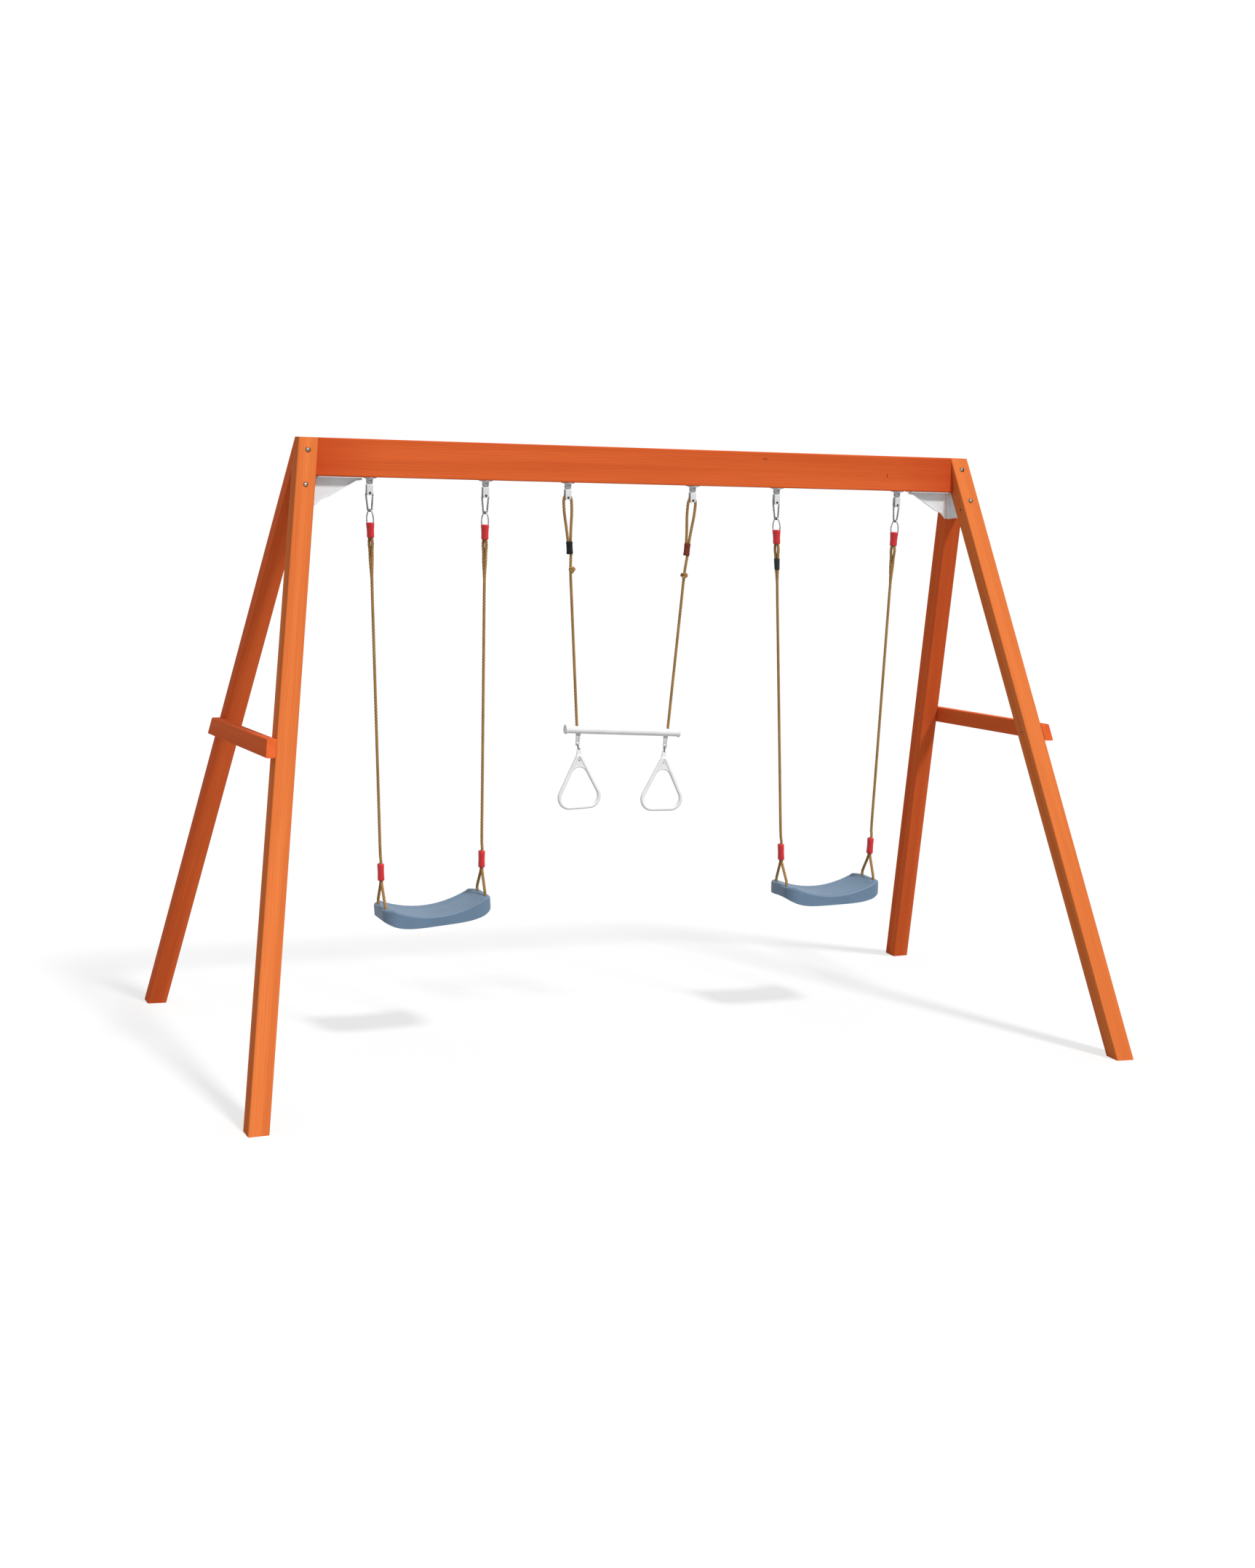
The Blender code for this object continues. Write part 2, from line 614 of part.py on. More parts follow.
def clevis(name, parent, x):
    """Barrel, crown and two plates with a pin across their feet, in the hinge axis's own frame."""
    place = Matrix.Translation((x, 0, 0))
    half = CHEEK_SPACING / 2 - GAP
    piece = add(name, rod(name, (-half, 0, 0), (half, 0, 0), BARREL_RADIUS, 8), PAINTED_STEEL, parent, place)

    def across(a, b, height):
        return (height, a, b)

    def upright(a, b, height):
        return (a, height, b)

    neck = [(-0.0045, -0.003), (0.0045, -0.003), (0.0045, -CLEVIS_CROWN - 0.001), (-0.0045, -CLEVIS_CROWN - 0.001)]
    boolean(piece, helper(name + "_neck", prism("neck", neck, 0.0006 - half, half - 0.0006, across), parent, place), "UNION")
    outer = CLEVIS_THROAT / 2 + CLEVIS_PLATE
    foot = -PIN_DROP - 0.008
    corner = CLEVIS_PLATE
    saddle = [(-outer, foot), (-outer, -CLEVIS_CROWN - corner)]
    saddle += arc((-outer + corner, -CLEVIS_CROWN - corner), corner, 180, 90, 2)[1:]
    saddle += arc((outer - corner, -CLEVIS_CROWN - corner), corner, 90, 0, 2)
    saddle += [(outer, foot), (outer - CLEVIS_PLATE, foot), (outer - CLEVIS_PLATE, -CLEVIS_CROWN - CLEVIS_PLATE)]
    saddle += [(-outer + CLEVIS_PLATE, -CLEVIS_CROWN - CLEVIS_PLATE), (-outer + CLEVIS_PLATE, foot)]
    width = CLEVIS_WIDTH / 2
    boolean(piece, helper(name + "_saddle", prism("saddle", saddle, -width, width, across), parent, place), "UNION")
    for end in (-1, 1):
        corner_cut = [(end * (width + 0.001), foot - 0.001), (end * (width + 0.001), foot + 0.008)]
        corner_cut += arc((end * (width - 0.008), foot + 0.008), 0.008, 0 if end > 0 else 180, -90 if end > 0 else 270, 2)
        corner_cut += [(end * (width - 0.008), foot - 0.001)]
        shape = prism("corner", corner_cut, -outer - 0.001, outer + 0.001, upright)
        boolean(piece, helper(f"{name}_corner_{end}", shape, parent, place))
    pin_profile = [(0, 0), (PIN_HEAD_DIAMETER / 2, 0), (PIN_HEAD_DIAMETER / 2, PIN_HEAD_HEIGHT)]
    pin_profile += [(PIN_DIAMETER / 2, PIN_HEAD_HEIGHT)]
    length = 2 * (outer + PIN_HEAD_HEIGHT - 0.0002)
    pin_profile += [(r, length - z) for r, z in reversed(pin_profile)]
    turn = Matrix.Translation((0, -length / 2, -PIN_DROP)) @ Matrix.Rotation(math.radians(-90), 4, "X")
    boolean(piece, helper(name + "_pin", turned("pin", pin_profile, 8, turn=turn), parent, place), "UNION")
    bore = bored((-0.02, 0, 0), (0.02, 0, 0), AXLE_DIAMETER / 2 + GAP, 8)
    boolean(piece, helper(name + "_bore", bore, parent, place))
    return piece


# Snap hook, ring and sleeves, each in the frame of its rope's line: the pin at its top, the line down -Z


def hook_outline():
    """The wire's centre line round the hook as (across, up) points: its two arcs and the ends of its straights."""
    top_centre = (0, PIN_DIAMETER / 2 + GAP + HOOK_WIRE / 2 - HOOK_TOP_RADIUS)
    span = HOOK_LENGTH - HOOK_TOP_RADIUS - HOOK_FOOT_RADIUS
    foot_centre = (0, top_centre[1] - span)
    slope = math.degrees(math.asin((HOOK_TOP_RADIUS - HOOK_FOOT_RADIUS) / span))
    top = arc(top_centre, HOOK_TOP_RADIUS, -slope, 180 + slope, 7)
    foot = arc(foot_centre, HOOK_FOOT_RADIUS, 180 + slope, 360 - slope, 6)
    return top, foot


def snap_hook(name, gate_name, parent, place, hinge):
    top, foot = hook_outline()
    upper, lower = Vector((*foot[-1], 0)), Vector((*top[0], 0))
    down = (upper - lower).normalized()
    tip = lower + down * GATE_START * (upper - lower).length
    pivot = tip + down * GATE_LENGTH
    body_end = pivot + down * 0.0048
    line = [tip.xy, *[Vector(p) for p in top], *[Vector(p) for p in foot], body_end.xy]
    turn = Matrix.Rotation(HOOK_TURN, 4, "Z")
    place = place @ turn
    points = [(p[0], 0, p[1]) for p in line]
    piece = add(name, tube(name, points, HOOK_WIRE / 2), ZINC, parent, place)

    def flat(a, b, height):
        return (a, height, b)

    side = Vector((-down.y, down.x, 0))
    tongue = [body_end + down * 0.002 + side * 0.0024, body_end + down * 0.002 - side * 0.0024]
    tongue += [pivot - side * 0.0024, pivot - down * 0.0022, pivot + side * 0.0024]
    outline = [(p.x, p.y) for p in tongue]
    shape = prism("tongue", outline, -TONGUE_THICKNESS / 2, TONGUE_THICKNESS / 2, flat)
    boolean(piece, helper(name + "_tongue", shape, parent, place), "UNION")
    centre = Vector((pivot.x, 0, pivot.y))
    reach = Vector((0, HOOK_WIRE / 2 + 0.0004, 0))
    rivet = rod("rivet", centre - reach, centre + reach, RIVET_DIAMETER / 2, 8)
    boolean(piece, helper(name + "_rivet", rivet, parent, place), "UNION")

    start = tip + down * GATE_TIP_GAP
    end = pivot + down * 0.0032
    axis = axis_at(hinge, (0, 0, 0))
    axis.parent = parent
    axis.matrix_basis = place @ Matrix.Translation(centre)
    local = [Vector((p.x, 0, p.y)) - centre for p in (start, end)]
    gate = add(gate_name, rod(gate_name, *local, HOOK_WIRE / 2, 10), ZINC, axis)
    slot_low, slot_high = pivot - down * 0.0068, end + down * 0.002
    slot = [slot_low + side * 0.005, slot_low - side * 0.005, slot_high - side * 0.005, slot_high + side * 0.005]
    outline = [(p.x - centre.x, p.y - centre.z) for p in slot]
    depth = TONGUE_THICKNESS / 2 + GAP
    boolean(gate, helper(gate_name + "_slot", prism("slot", outline, -depth, depth, flat), axis))
    bore = bored((0, -0.01, 0), (0, 0.01, 0), RIVET_DIAMETER / 2 + GAP, 8)
    boolean(gate, helper(gate_name + "_bore", bore, axis))
    return piece, gate


def ring_points(turn, steps=16):
    """The ring's centre line about its own middle, its plane turned about Z."""
    points = []
    for angle in np.linspace(0, 2 * math.pi, steps, endpoint=False):
        across = RING_HALF_WIDTH * math.sin(angle)
        points.append(Vector((across * math.cos(turn), across * math.sin(turn), RING_HALF_HEIGHT * math.cos(angle))))
    return points


def ring_middle():
    """Height of the ring's middle where it hangs in the snap hook's foot, on the rope's line."""
    _, foot = hook_outline()
    hook = [(a * math.cos(HOOK_TURN), a * math.sin(HOOK_TURN), b) for a, b in foot]
    lift = min(b for _, b in foot) + 0.012 - RING_HALF_HEIGHT
    ring = [p + Vector((0, 0, lift)) for p in ring_points(RING_TURN, 60)]
    reach = HOOK_WIRE / 2 + RING_WIRE / 2 + GAP
    return lift - hang_drop(dense(hook, closed=False), dense(ring), reach)


def oval_sections(half_sizes, levels, turn, steps=10):
    """Oval sections of a sleeve, at their levels, turned about Z."""
    sections = []
    for (long_half, short_half), level in zip(half_sizes, levels):
        section = []
        for angle in np.linspace(0, 2 * math.pi, steps, endpoint=False):
            a, b = long_half * math.cos(angle), short_half * math.sin(angle)
            section.append((a * math.cos(turn) - b * math.sin(turn), a * math.sin(turn) + b * math.cos(turn), level))
        sections.append(section)
    return sections


def sleeve_mesh(name, top_half, foot_half, top, height, turn, steps=10):
    """A sleeve with softened ends, from its top down."""
    sizes, levels = [], []
    for share, grow in ((0, 0.80), (0.05, 1.0), (0.95, 1.0), (1, 0.80)):
        sizes.append([grow * (a + (b - a) * share) for a, b in zip(top_half, foot_half)])
        levels.append(top - share * height)
    return lofted(name, oval_sections(sizes, levels, turn, steps), 50)


def top_sleeve(name, parent, place):
    """Moulded round the ring's foot, with two sockets below for the rope."""
    top = ring_middle() - RING_HALF_HEIGHT + SLEEVE_COVER
    mesh = sleeve_mesh(name, SLEEVE_TOP_HALF, SLEEVE_FOOT_HALF, top, SLEEVE_HEIGHT, RING_TURN)
    piece = add(name, mesh, RED_PLASTIC, parent, place)
    middle = Vector((0, 0, ring_middle()))
    ring = [p + middle for p in ring_points(RING_TURN)]
    cutter = tube(name + "_ring_groove", ring, RING_WIRE / 2 + GAP, closed=True)
    boolean(piece, helper(name + "_ring_groove", cutter, parent, place))
    foot = top - SLEEVE_HEIGHT
    for end in (-1, 1):
        offset = strand_offset(end)
        start, stop = offset + Vector((0, 0, foot + ROPE_SOCKET + GAP)), offset + Vector((0, 0, foot - 0.01))
        socket = bored(start, stop, ROPE_RADIUS + GAP, 8)
        boolean(piece, helper(f"{name}_socket_{end}", socket, parent, place))
    return piece


def strand_offset(end):
    """Where a part of the doubled rope lies beside the rope's line, in the plane of the ring."""
    reach = end * (ROPE_RADIUS + GAP)
    return Vector((reach * math.cos(RING_TURN), reach * math.sin(RING_TURN), 0))


def sleeve_foot():
    return ring_middle() - RING_HALF_HEIGHT + SLEEVE_COVER - SLEEVE_HEIGHT


# Swings


def hang_place(centre, level, tilt):
    """The frame of what hangs below a hinge axis at x = 0: shifted along the axis, lowered, and tilted about Y."""
    return Matrix.Translation((centre, 0, level - HINGE_LEVEL)) @ Matrix.Rotation(-tilt, 4, "Y")


def seat_top(x):
    """Height of the seat's top along its width, from the level of its flat ends."""
    inner = SEAT_WIDTH / 2 - EAR_LENGTH
    if abs(x) >= inner:
        rise = min(1, (abs(x) - inner) / 0.018)
        return -EAR_STEP * (1 - rise * rise * (3 - 2 * rise))
    return -EAR_STEP - (SEAT_SAG - EAR_STEP) * (1 - (x / inner) ** 2)


def skirt_foot(x):
    """Height of the skirt's lower edge, which falls more steeply near the ends than the top does."""
    return -SEAT_SKIRT - 0.9 * SEAT_SAG * (1 - abs(2 * x / SEAT_WIDTH) ** 3.5)


def seat_stations(inset):
    """(x, half depth) pairs along the seat, with rounded corners."""
    half_width, half_depth = SEAT_WIDTH / 2 - inset, SEAT_DEPTH / 2 - inset
    radius = SEAT_CORNER - inset
    ends = [(half_width - radius * (1 - math.sin(a)), half_depth - radius * (1 - math.cos(a)))
            for a in np.radians((88, 62, 36, 12))]
    inner = SEAT_WIDTH / 2 - EAR_LENGTH
    middle = [(inner + 0.012, half_depth), (inner, half_depth)]
    middle += [(inner * share, half_depth) for share in (0.80, 0.56, 0.28)] + [(0, half_depth)]
    right = ends + middle
    return [(-x, y) for x, y in right[:-1]] + [(x, y) for x, y in reversed(right)]


def seat_body(name, inset, extra):
    """The seat's outer form, or the hollow inside it, which reaches further down by that extra."""
    sections = []
    for x, half in seat_stations(inset):
        top = seat_top(x) - inset
        foot = skirt_foot(x) - extra
        edge = min(0.006, half / 4) if inset == 0 else 0.002
        dish = 0.004
        section = [(x, -half, foot), (x, -half, top - edge), (x, -half + edge, top), (x, -half * 0.45, top - dish)]
        section += [(x, half * 0.45, top - dish), (x, half - edge, top), (x, half, top - edge), (x, half, foot)]
        sections.append(section)
    return lofted(name, sections, 40)


def seat(name, parent, place):
    piece = add(name, seat_body(name, 0, 0), BLUE_PLASTIC, parent, place)
    hollow = helper(name + "_hollow", seat_body("hollow", SEAT_WALL, 0.02), parent, place)
    for x in (-RIB_SPACING, 0, RIB_SPACING):
        outline = [(x - RIB_THICKNESS / 2, 0.05), (x + RIB_THICKNESS / 2, 0.05)]
        foot = seat_top(x) - SEAT_WALL - RIB_DEPTH
        outline += [(x + RIB_THICKNESS / 2, foot), (x - RIB_THICKNESS / 2, foot)]
        rib = prism("rib", outline, -SEAT_DEPTH, SEAT_DEPTH, lambda a, b, height: (a, height, b))
        boolean(hollow, helper(f"{name}_rib_{x:.2f}", rib, parent, place))
    boolean(piece, hollow)
    for x in (-SEAT_ROPE_SPACING / 2, SEAT_ROPE_SPACING / 2):
        for y in (-SEAT_HOLE_SPREAD / 2, SEAT_HOLE_SPREAD / 2):
            hole = bored((x, y, 0.02), (x, y, -SEAT_SKIRT), ROPE_RADIUS + FIT, 8)
            boolean(piece, helper(f"{name}_hole_{x:.2f}_{y:.2f}", hole, parent, place))
    return piece


def rope_line(x, foot):
    """The frame of a rope's line, its clevis pin at the top and -Z along the line, and the foot's distance."""
    top = Vector((x, 0, -PIN_DROP))
    lean = math.atan2(top.x - foot.x, top.z - foot.z)
    return Matrix.Translation(top) @ Matrix.Rotation(lean, 4, "Y"), (foot - top).length


def swing_rope_route(pin, place, end, distance):
    """The rope from the top sleeve through the lower sleeve and the seat's two holes, and back into the sleeve."""
    apart = ROPE_RADIUS + 0.0004
    hole = SEAT_HOLE_SPREAD / 2

    def seat_point(y, z):
        return pin.inverted() @ (place @ Vector((end * SEAT_ROPE_SPACING / 2, y, z)))

    def strand(y, rise):
        return Vector((0, y, rise - distance))

    middle = LOWER_SLEEVE_RISE
    top, foot = middle + LOWER_SLEEVE_HEIGHT / 2, middle - LOWER_SLEEVE_HEIGHT / 2
    first = strand_offset(1)
    start = sleeve_foot()
    route = [first + Vector((0, 0, start + ROPE_SOCKET)), first + Vector((0, 0, start + 0.002))]
    route += [first.normalized() * EYE_SPREAD + Vector((0, 0, start - 0.020))]
    route += [first + Vector((0, 0, start - 0.046)), first * 0.9 + Vector((0, 0, start - 0.075))]
    route += [first * 0.3 + Vector((0, 0, start - 0.120))]
    route += [Vector((0, 0, z)) for z in np.linspace(start - 0.170, top + 0.050 - distance, 6)]
    route += [strand(-apart * 0.96, top + 0.012), strand(-apart, middle), strand(-apart, foot - 0.002)]
    route += [strand(-apart - 0.006, foot - 0.020), seat_point(-hole + 0.004, 0.022), seat_point(-hole, 0.004)]
    turn = [(-hole, -0.011), (-hole + 0.0059, -0.0251), (-hole + 0.020, -0.0310)]
    route += [seat_point(y, z) for y, z in turn] + [seat_point(0, -0.0315)]
    route += [seat_point(-y, z) for y, z in reversed(turn)] + [seat_point(hole, 0.004)]
    route += [seat_point(hole - 0.004, 0.022), strand(apart + 0.006, foot - 0.020), strand(apart, foot - 0.002)]
    route += [strand(apart, middle), strand(apart, top - 0.010)]
    return route


def swing_rope(name, parent, pin, place, end, distance):
    route = swing_rope_route(pin, place, end, distance)
    piece = add(name, tube(name, smooth_route(route), ROPE_RADIUS), ROPE_FIBRE, parent, pin)
    start = sleeve_foot()
    second = strand_offset(-1)
    tail = [second + Vector((0, 0, start + ROPE_SOCKET)), second + Vector((0, 0, start + 0.002))]
    tail += [second.normalized() * EYE_SPREAD + Vector((0, 0, start - 0.020))]
    tail += [second + Vector((0, 0, start - 0.046)), second * 0.9 + Vector((0, 0, start - 0.075))]
    tail += [second * 0.5 + Vector((0, 0, start - TAIL_LENGTH))]
    mesh = tube(name + "_tail", smooth_route(tail), ROPE_RADIUS)
    boolean(piece, helper(name + "_tail", mesh, parent, pin), "UNION")
    levels = [start - drop for drop in SPLICE_LEVELS]
    splice = lofted("splice", oval_sections(SPLICE_HALF, levels, RING_TURN), 50)
    boolean(piece, helper(name + "_splice", splice, parent, pin), "UNION")
    return piece


def ball(name, centre, half_sizes, turn=0.0):
    """An egg-shaped lump, as a knot."""
    bm = bmesh.new()
    bmesh.ops.create_uvsphere(bm, u_segments=8, v_segments=5, radius=1)
    place = Matrix.Translation(centre) @ Matrix.Rotation(turn, 4, "Z") @ Matrix.Diagonal((*half_sizes, 1))
    bmesh.ops.transform(bm, matrix=place, verts=bm.verts)
    return finished(bm, name, 60)


def lower_sleeve(name, parent, place, distance):
    """Round the rope where it doubles, above the seat."""
    top = LOWER_SLEEVE_RISE + LOWER_SLEEVE_HEIGHT / 2 - distance
    mesh = sleeve_mesh(name, LOWER_SLEEVE_HALF, LOWER_SLEEVE_HALF, top, LOWER_SLEEVE_HEIGHT, 0.0)
    piece = add(name, mesh, RED_PLASTIC, parent, place)
    narrow, wide = LOWER_SLEEVE_BORE
    sections = []
    for level in (top + 0.01, top - LOWER_SLEEVE_HEIGHT - 0.01):
        outline = arc((wide - narrow, 0), narrow, -90, 90, 3)
        outline += arc((narrow - wide, 0), narrow, 90, 270, 3)
        sections.append([(b, a, level) for a, b in outline])
    boolean(piece, helper(name + "_bore", lofted("bore", sections), parent, place))
    return piece


def swing(name, hangers, seat_centre, tilt):
    middle = sum(hangers) / 2
    parent = axis_at(name + "_axis", (middle, 0, HINGE_LEVEL))
    place = hang_place(seat_centre - middle, SEAT_LEVEL, tilt)
    seat(name + "_seat", parent, place)
    for side_name, end, x in (("left", -1, hangers[0]), ("right", 1, hangers[1])):
        prefix = f"{name}_{side_name}"
        foot = place @ Vector((end * SEAT_ROPE_SPACING / 2, 0, 0))
        pin, distance = rope_line(x - middle, foot)
        hanger_base(prefix + "_hanger_base", x)
        clevis(prefix + "_clevis", parent, x - middle)
        snap_hook(prefix + "_snap_hook", prefix + "_gate", parent, pin, prefix + "_gate_axis")
        lift = Vector((0, 0, ring_middle()))
        ring = [p + lift for p in ring_points(RING_TURN)]
        add(prefix + "_eye_ring", tube("ring", ring, RING_WIRE / 2, closed=True), ZINC, parent, pin)
        top_sleeve(prefix + "_top_sleeve", parent, pin)
        swing_rope(prefix + "_rope", parent, pin, place, end, distance)
        lower_sleeve(prefix + "_lower_sleeve", parent, pin, distance)


# Trapeze


def trapeze_bar(parent, place, pins):
    half, flare = BAR_LENGTH / 2, BAR_FLANGE_LENGTH
    profile = [(0, -half), (BAR_FLANGE_RADIUS - 0.002, -half), (BAR_FLANGE_RADIUS, -half + 0.003)]
    profile += [(BAR_FLANGE_RADIUS - 0.0012, -half + 0.007), (BAR_RADIUS, -half + flare), (BAR_RADIUS, 0)]
    profile += [(r, -z) for r, z in reversed(profile[:-1])]
    turn = Matrix.Rotation(math.radians(90), 4, "Y")
    name = "trapeze_bar"
    piece = add(name, turned(name, profile, 16, turn=turn), WHITE_PLASTIC, parent, place)

    def upright(a, b, height):
        return (a, height, b)

    for end in (-1, 1):
        x = end * STRAP_SPACING / 2
        half_width = STRAP_WIDTH / 2
        window = STRAP_WINDOW[0] / 2
        foot = -STRAP_DROP
        outline = [(x - half_width, -BAR_RADIUS + 0.004), (x - half_width + 0.002, foot - 0.001)]
        outline += [(x + half_width - 0.002, foot - 0.001), (x + half_width, -BAR_RADIUS + 0.004)]
        strap = helper(
            f"strap_{end}",
            prism("strap", outline, -STRAP_THICKNESS / 2, STRAP_THICKNESS / 2, upright),
            parent,
            place,
        )
        low, high = foot - 0.0002, foot + STRAP_WINDOW[1]
        outline = [(x - window, low), (x + window, low), (x + window, high - 0.003), (x + window - 0.003, high)]
        outline += [(x - window + 0.003, high), (x - window, high - 0.003)]
        opening = prism("window", outline, -0.01, 0.01, upright)
        boolean(strap, helper(f"strap_window_{end}", opening, parent, place))
        boolean(piece, strap, "UNION")
        foot_start = (x - half_width + 0.001, 0, foot)
        foot_end = (x + half_width - 0.001, 0, foot)
        foot_bar = rod("foot", foot_start, foot_end, STRAP_FOOT_RADIUS, 10)
        boolean(piece, helper(f"strap_foot_{end}", foot_bar, parent, place), "UNION")
        socket_top = place @ Vector((end * BAR_ROPE_SPACING / 2, 0, 0))
        direction = (pins[end].to_3x3() @ Vector((0, 0, 1))).normalized()
        low_point = socket_top - direction * (BAR_SOCKET - BAR_RADIUS)
        socket = bored(low_point, socket_top + direction * 0.05, ROPE_RADIUS + FIT, 8)
        boolean(piece, helper(f"rope_socket_{end}", socket, parent))
    return piece


def trapeze_rope(name, parent, pin, distance):
    """A loop over the clevis pin, crimped below it, a stopper knot, and on down into the bar."""
    arch = PIN_DIAMETER / 2 + GAP + ROPE_RADIUS
    apart = ROPE_RADIUS + GAP
    bottom = -distance - BAR_SOCKET + BAR_RADIUS + GAP
    route = [(-apart, 0, -CRIMP_DROP - CRIMP_HEIGHT * 0.3), (-apart, 0, -CRIMP_DROP + CRIMP_HEIGHT / 2)]
    bight = [(-0.0085, 0, -0.110), (-0.0125, 0, -0.060), (-0.0135, 0, -0.022)]
    bight += [(-LOOP_RADIUS, 0, arch - LOOP_RADIUS), (-0.707 * LOOP_RADIUS, 0, arch - 0.293 * LOOP_RADIUS)]
    route += [*bight, (0, 0, arch), *[(-x, y, z) for x, y, z in reversed(bight)]]
    route += [(apart, 0, -CRIMP_DROP + CRIMP_HEIGHT / 2), (apart, 0, -CRIMP_DROP - CRIMP_HEIGHT * 0.3)]
    route += [(apart * 0.5, 0, -CRIMP_DROP - CRIMP_HEIGHT), (0, 0, -KNOT_DROP)]
    route += [(0, 0, z) for z in np.linspace(-KNOT_DROP, bottom, 7)[1:]]
    piece = add(name, tube(name, smooth_route(route), ROPE_RADIUS), ROPE_FIBRE, parent, pin)
    top = -CRIMP_DROP + CRIMP_HEIGHT / 2
    crimp = sleeve_mesh("crimp", CRIMP_HALF, CRIMP_HALF, top, CRIMP_HEIGHT, 0.0)
    boolean(piece, helper(name + "_crimp", crimp, parent, pin), "UNION")
    knot = ball("knot", Vector((0, 0, -KNOT_DROP)), (KNOT_RADIUS, 0.011, 0.015))
    boolean(piece, helper(name + "_knot", knot, parent, pin), "UNION")
    return piece


def grip_outline(inset, apex_radius, steps):
    """A rounded triangle standing on 0: two corner arcs and an apex arc on the lines that touch them."""
    corner = Vector((GRIP_WIDTH / 2 - GRIP_CORNER_RADIUS, GRIP_CORNER_RADIUS))
    apex = Vector((0, GRIP_HEIGHT - GRIP_APEX_RADIUS))
    flank = math.atan2(apex.y - corner.y, apex.x - corner.x)
    flank -= math.acos((GRIP_CORNER_RADIUS - GRIP_APEX_RADIUS) / (apex - corner).length)
    reach = corner.x * math.cos(flank) + corner.y * math.sin(flank) + GRIP_CORNER_RADIUS - inset
    level = (reach - apex_radius) / math.sin(flank)
    slope = math.degrees(flank)
    right = arc(corner, GRIP_CORNER_RADIUS - inset, -90, slope, steps)
    top = arc((0, level), apex_radius, slope, 180 - slope, steps - 1)
    return right + top + [(-a, b) for a, b in reversed(right)]


def ring_grip(name, link_name, parent, leans):
    """The link and the grip that hangs in it, each with its own lean, parented to the strap's round foot."""
    steps = 6
    top = [(a, b) for a, b in arc((0, 0), LINK_RADIUS, 0, 180, steps)]
    foot = [(a, b) for a, b in arc((0, -LINK_STRAIGHT), LINK_RADIUS, 180, 360, steps)]
    points = [(0, a, b) for a, b in top + foot]
    link_turn = Matrix.Rotation(leans[0], 4, "Y")
    add(link_name, tube(link_name, points, LINK_WIRE / 2, closed=True), ZINC, parent, link_turn)
    hole = link_turn @ Vector((0, 0, -LINK_STRAIGHT - LINK_RADIUS))
    place = Matrix.Translation(hole) @ Matrix.Rotation(leans[1], 4, "Y")
    place = place @ Matrix.Translation((0, 0, -TAB_REACH - GRIP_HEIGHT))

    def upright(a, b, height):
        return (a, height, b)

    half = GRIP_THICKNESS / 2
    piece = add(name, prism(name, grip_outline(0, GRIP_APEX_RADIUS, 6), -half, half, upright, 40), WHITE_PLASTIC, parent, place)
    opening = prism("opening", grip_outline(GRIP_RIM, GRIP_OPENING_APEX_RADIUS, 5), -0.02, 0.02, upright)
    boolean(piece, helper(name + "_opening", opening, parent, place))
    rounding = piece.modifiers.new("rounding", "BEVEL")
    rounding.width = 0.0042
    rounding.segments = 2
    rounding.limit_method = "ANGLE"
    rounding.angle_limit = math.radians(60)
    tab = [(-TAB_RADIUS - 0.006, GRIP_HEIGHT - 0.012), (-TAB_RADIUS, GRIP_HEIGHT + TAB_REACH)]
    tab += arc((0, GRIP_HEIGHT + TAB_REACH), TAB_RADIUS, 180, 0, 6)[1:-1]
    tab += [(TAB_RADIUS, GRIP_HEIGHT + TAB_REACH), (TAB_RADIUS + 0.006, GRIP_HEIGHT - 0.012)]
    half = TAB_THICKNESS / 2
    boolean(piece, helper(name + "_tab", prism("tab", tab, -half, half, upright), parent, place), "UNION")
    eye = bored((0, -0.01, GRIP_HEIGHT + TAB_REACH), (0, 0.01, GRIP_HEIGHT + TAB_REACH), TAB_HOLE / 2, 10)
    boolean(piece, helper(name + "_eye", eye, parent, place))
    return piece


def trapeze():
    middle = sum(TRAPEZE_HANGERS) / 2
    parent = axis_at("trapeze_axis", (middle, 0, HINGE_LEVEL))
    place = hang_place(BAR_CENTRE - middle, BAR_LEVEL, BAR_TILT)
    pins = {}
    for side_name, end, x in (("left", -1, TRAPEZE_HANGERS[0]), ("right", 1, TRAPEZE_HANGERS[1])):
        prefix = "trapeze_" + side_name
        pins[end], distance = rope_line(x - middle, place @ Vector((end * BAR_ROPE_SPACING / 2, 0, 0)))
        hanger_base(prefix + "_hanger_base", x)
        clevis(prefix + "_clevis", parent, x - middle)
        trapeze_rope(prefix + "_rope", parent, pins[end], distance)
    trapeze_bar(parent, place, pins)
    for side_name, end, leans in (("left", -1, LEFT_LEANS), ("right", 1, RIGHT_LEANS)):
        axis = axis_at(side_name + "_ring_axis", place @ Vector((end * STRAP_SPACING / 2, 0, -STRAP_DROP)))
        axis.parent = parent
        ring_grip(side_name + "_ring_grip", side_name + "_ring_link", axis, leans)


HANGING_SETS = (
    ("left_swing", LEFT_SWING_HANGERS),
    ("right_swing", RIGHT_SWING_HANGERS),
    ("trapeze", TRAPEZE_HANGERS),
)


def main():
    clear_scene()
    stand()
    swing("left_swing", LEFT_SWING_HANGERS, LEFT_SEAT_CENTRE, LEFT_SEAT_TILT)
    swing("right_swing", RIGHT_SWING_HANGERS, RIGHT_SEAT_CENTRE, RIGHT_SEAT_TILT)
    trapeze()
    bpy.context.view_layer.update()


main()
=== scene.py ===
"""Looks of the wooden swing set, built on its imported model.

Metres, +Z up, the front towards -Y, the ground at Z = 0 and the middle of the beam over the origin.
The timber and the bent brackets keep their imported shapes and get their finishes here.
Ropes, seats, grips, bolts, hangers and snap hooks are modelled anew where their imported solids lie.
"""

import logging
import math
from collections.abc import Callable, Iterator, Sequence
from contextlib import contextmanager
from dataclasses import dataclass, field
from enum import Enum

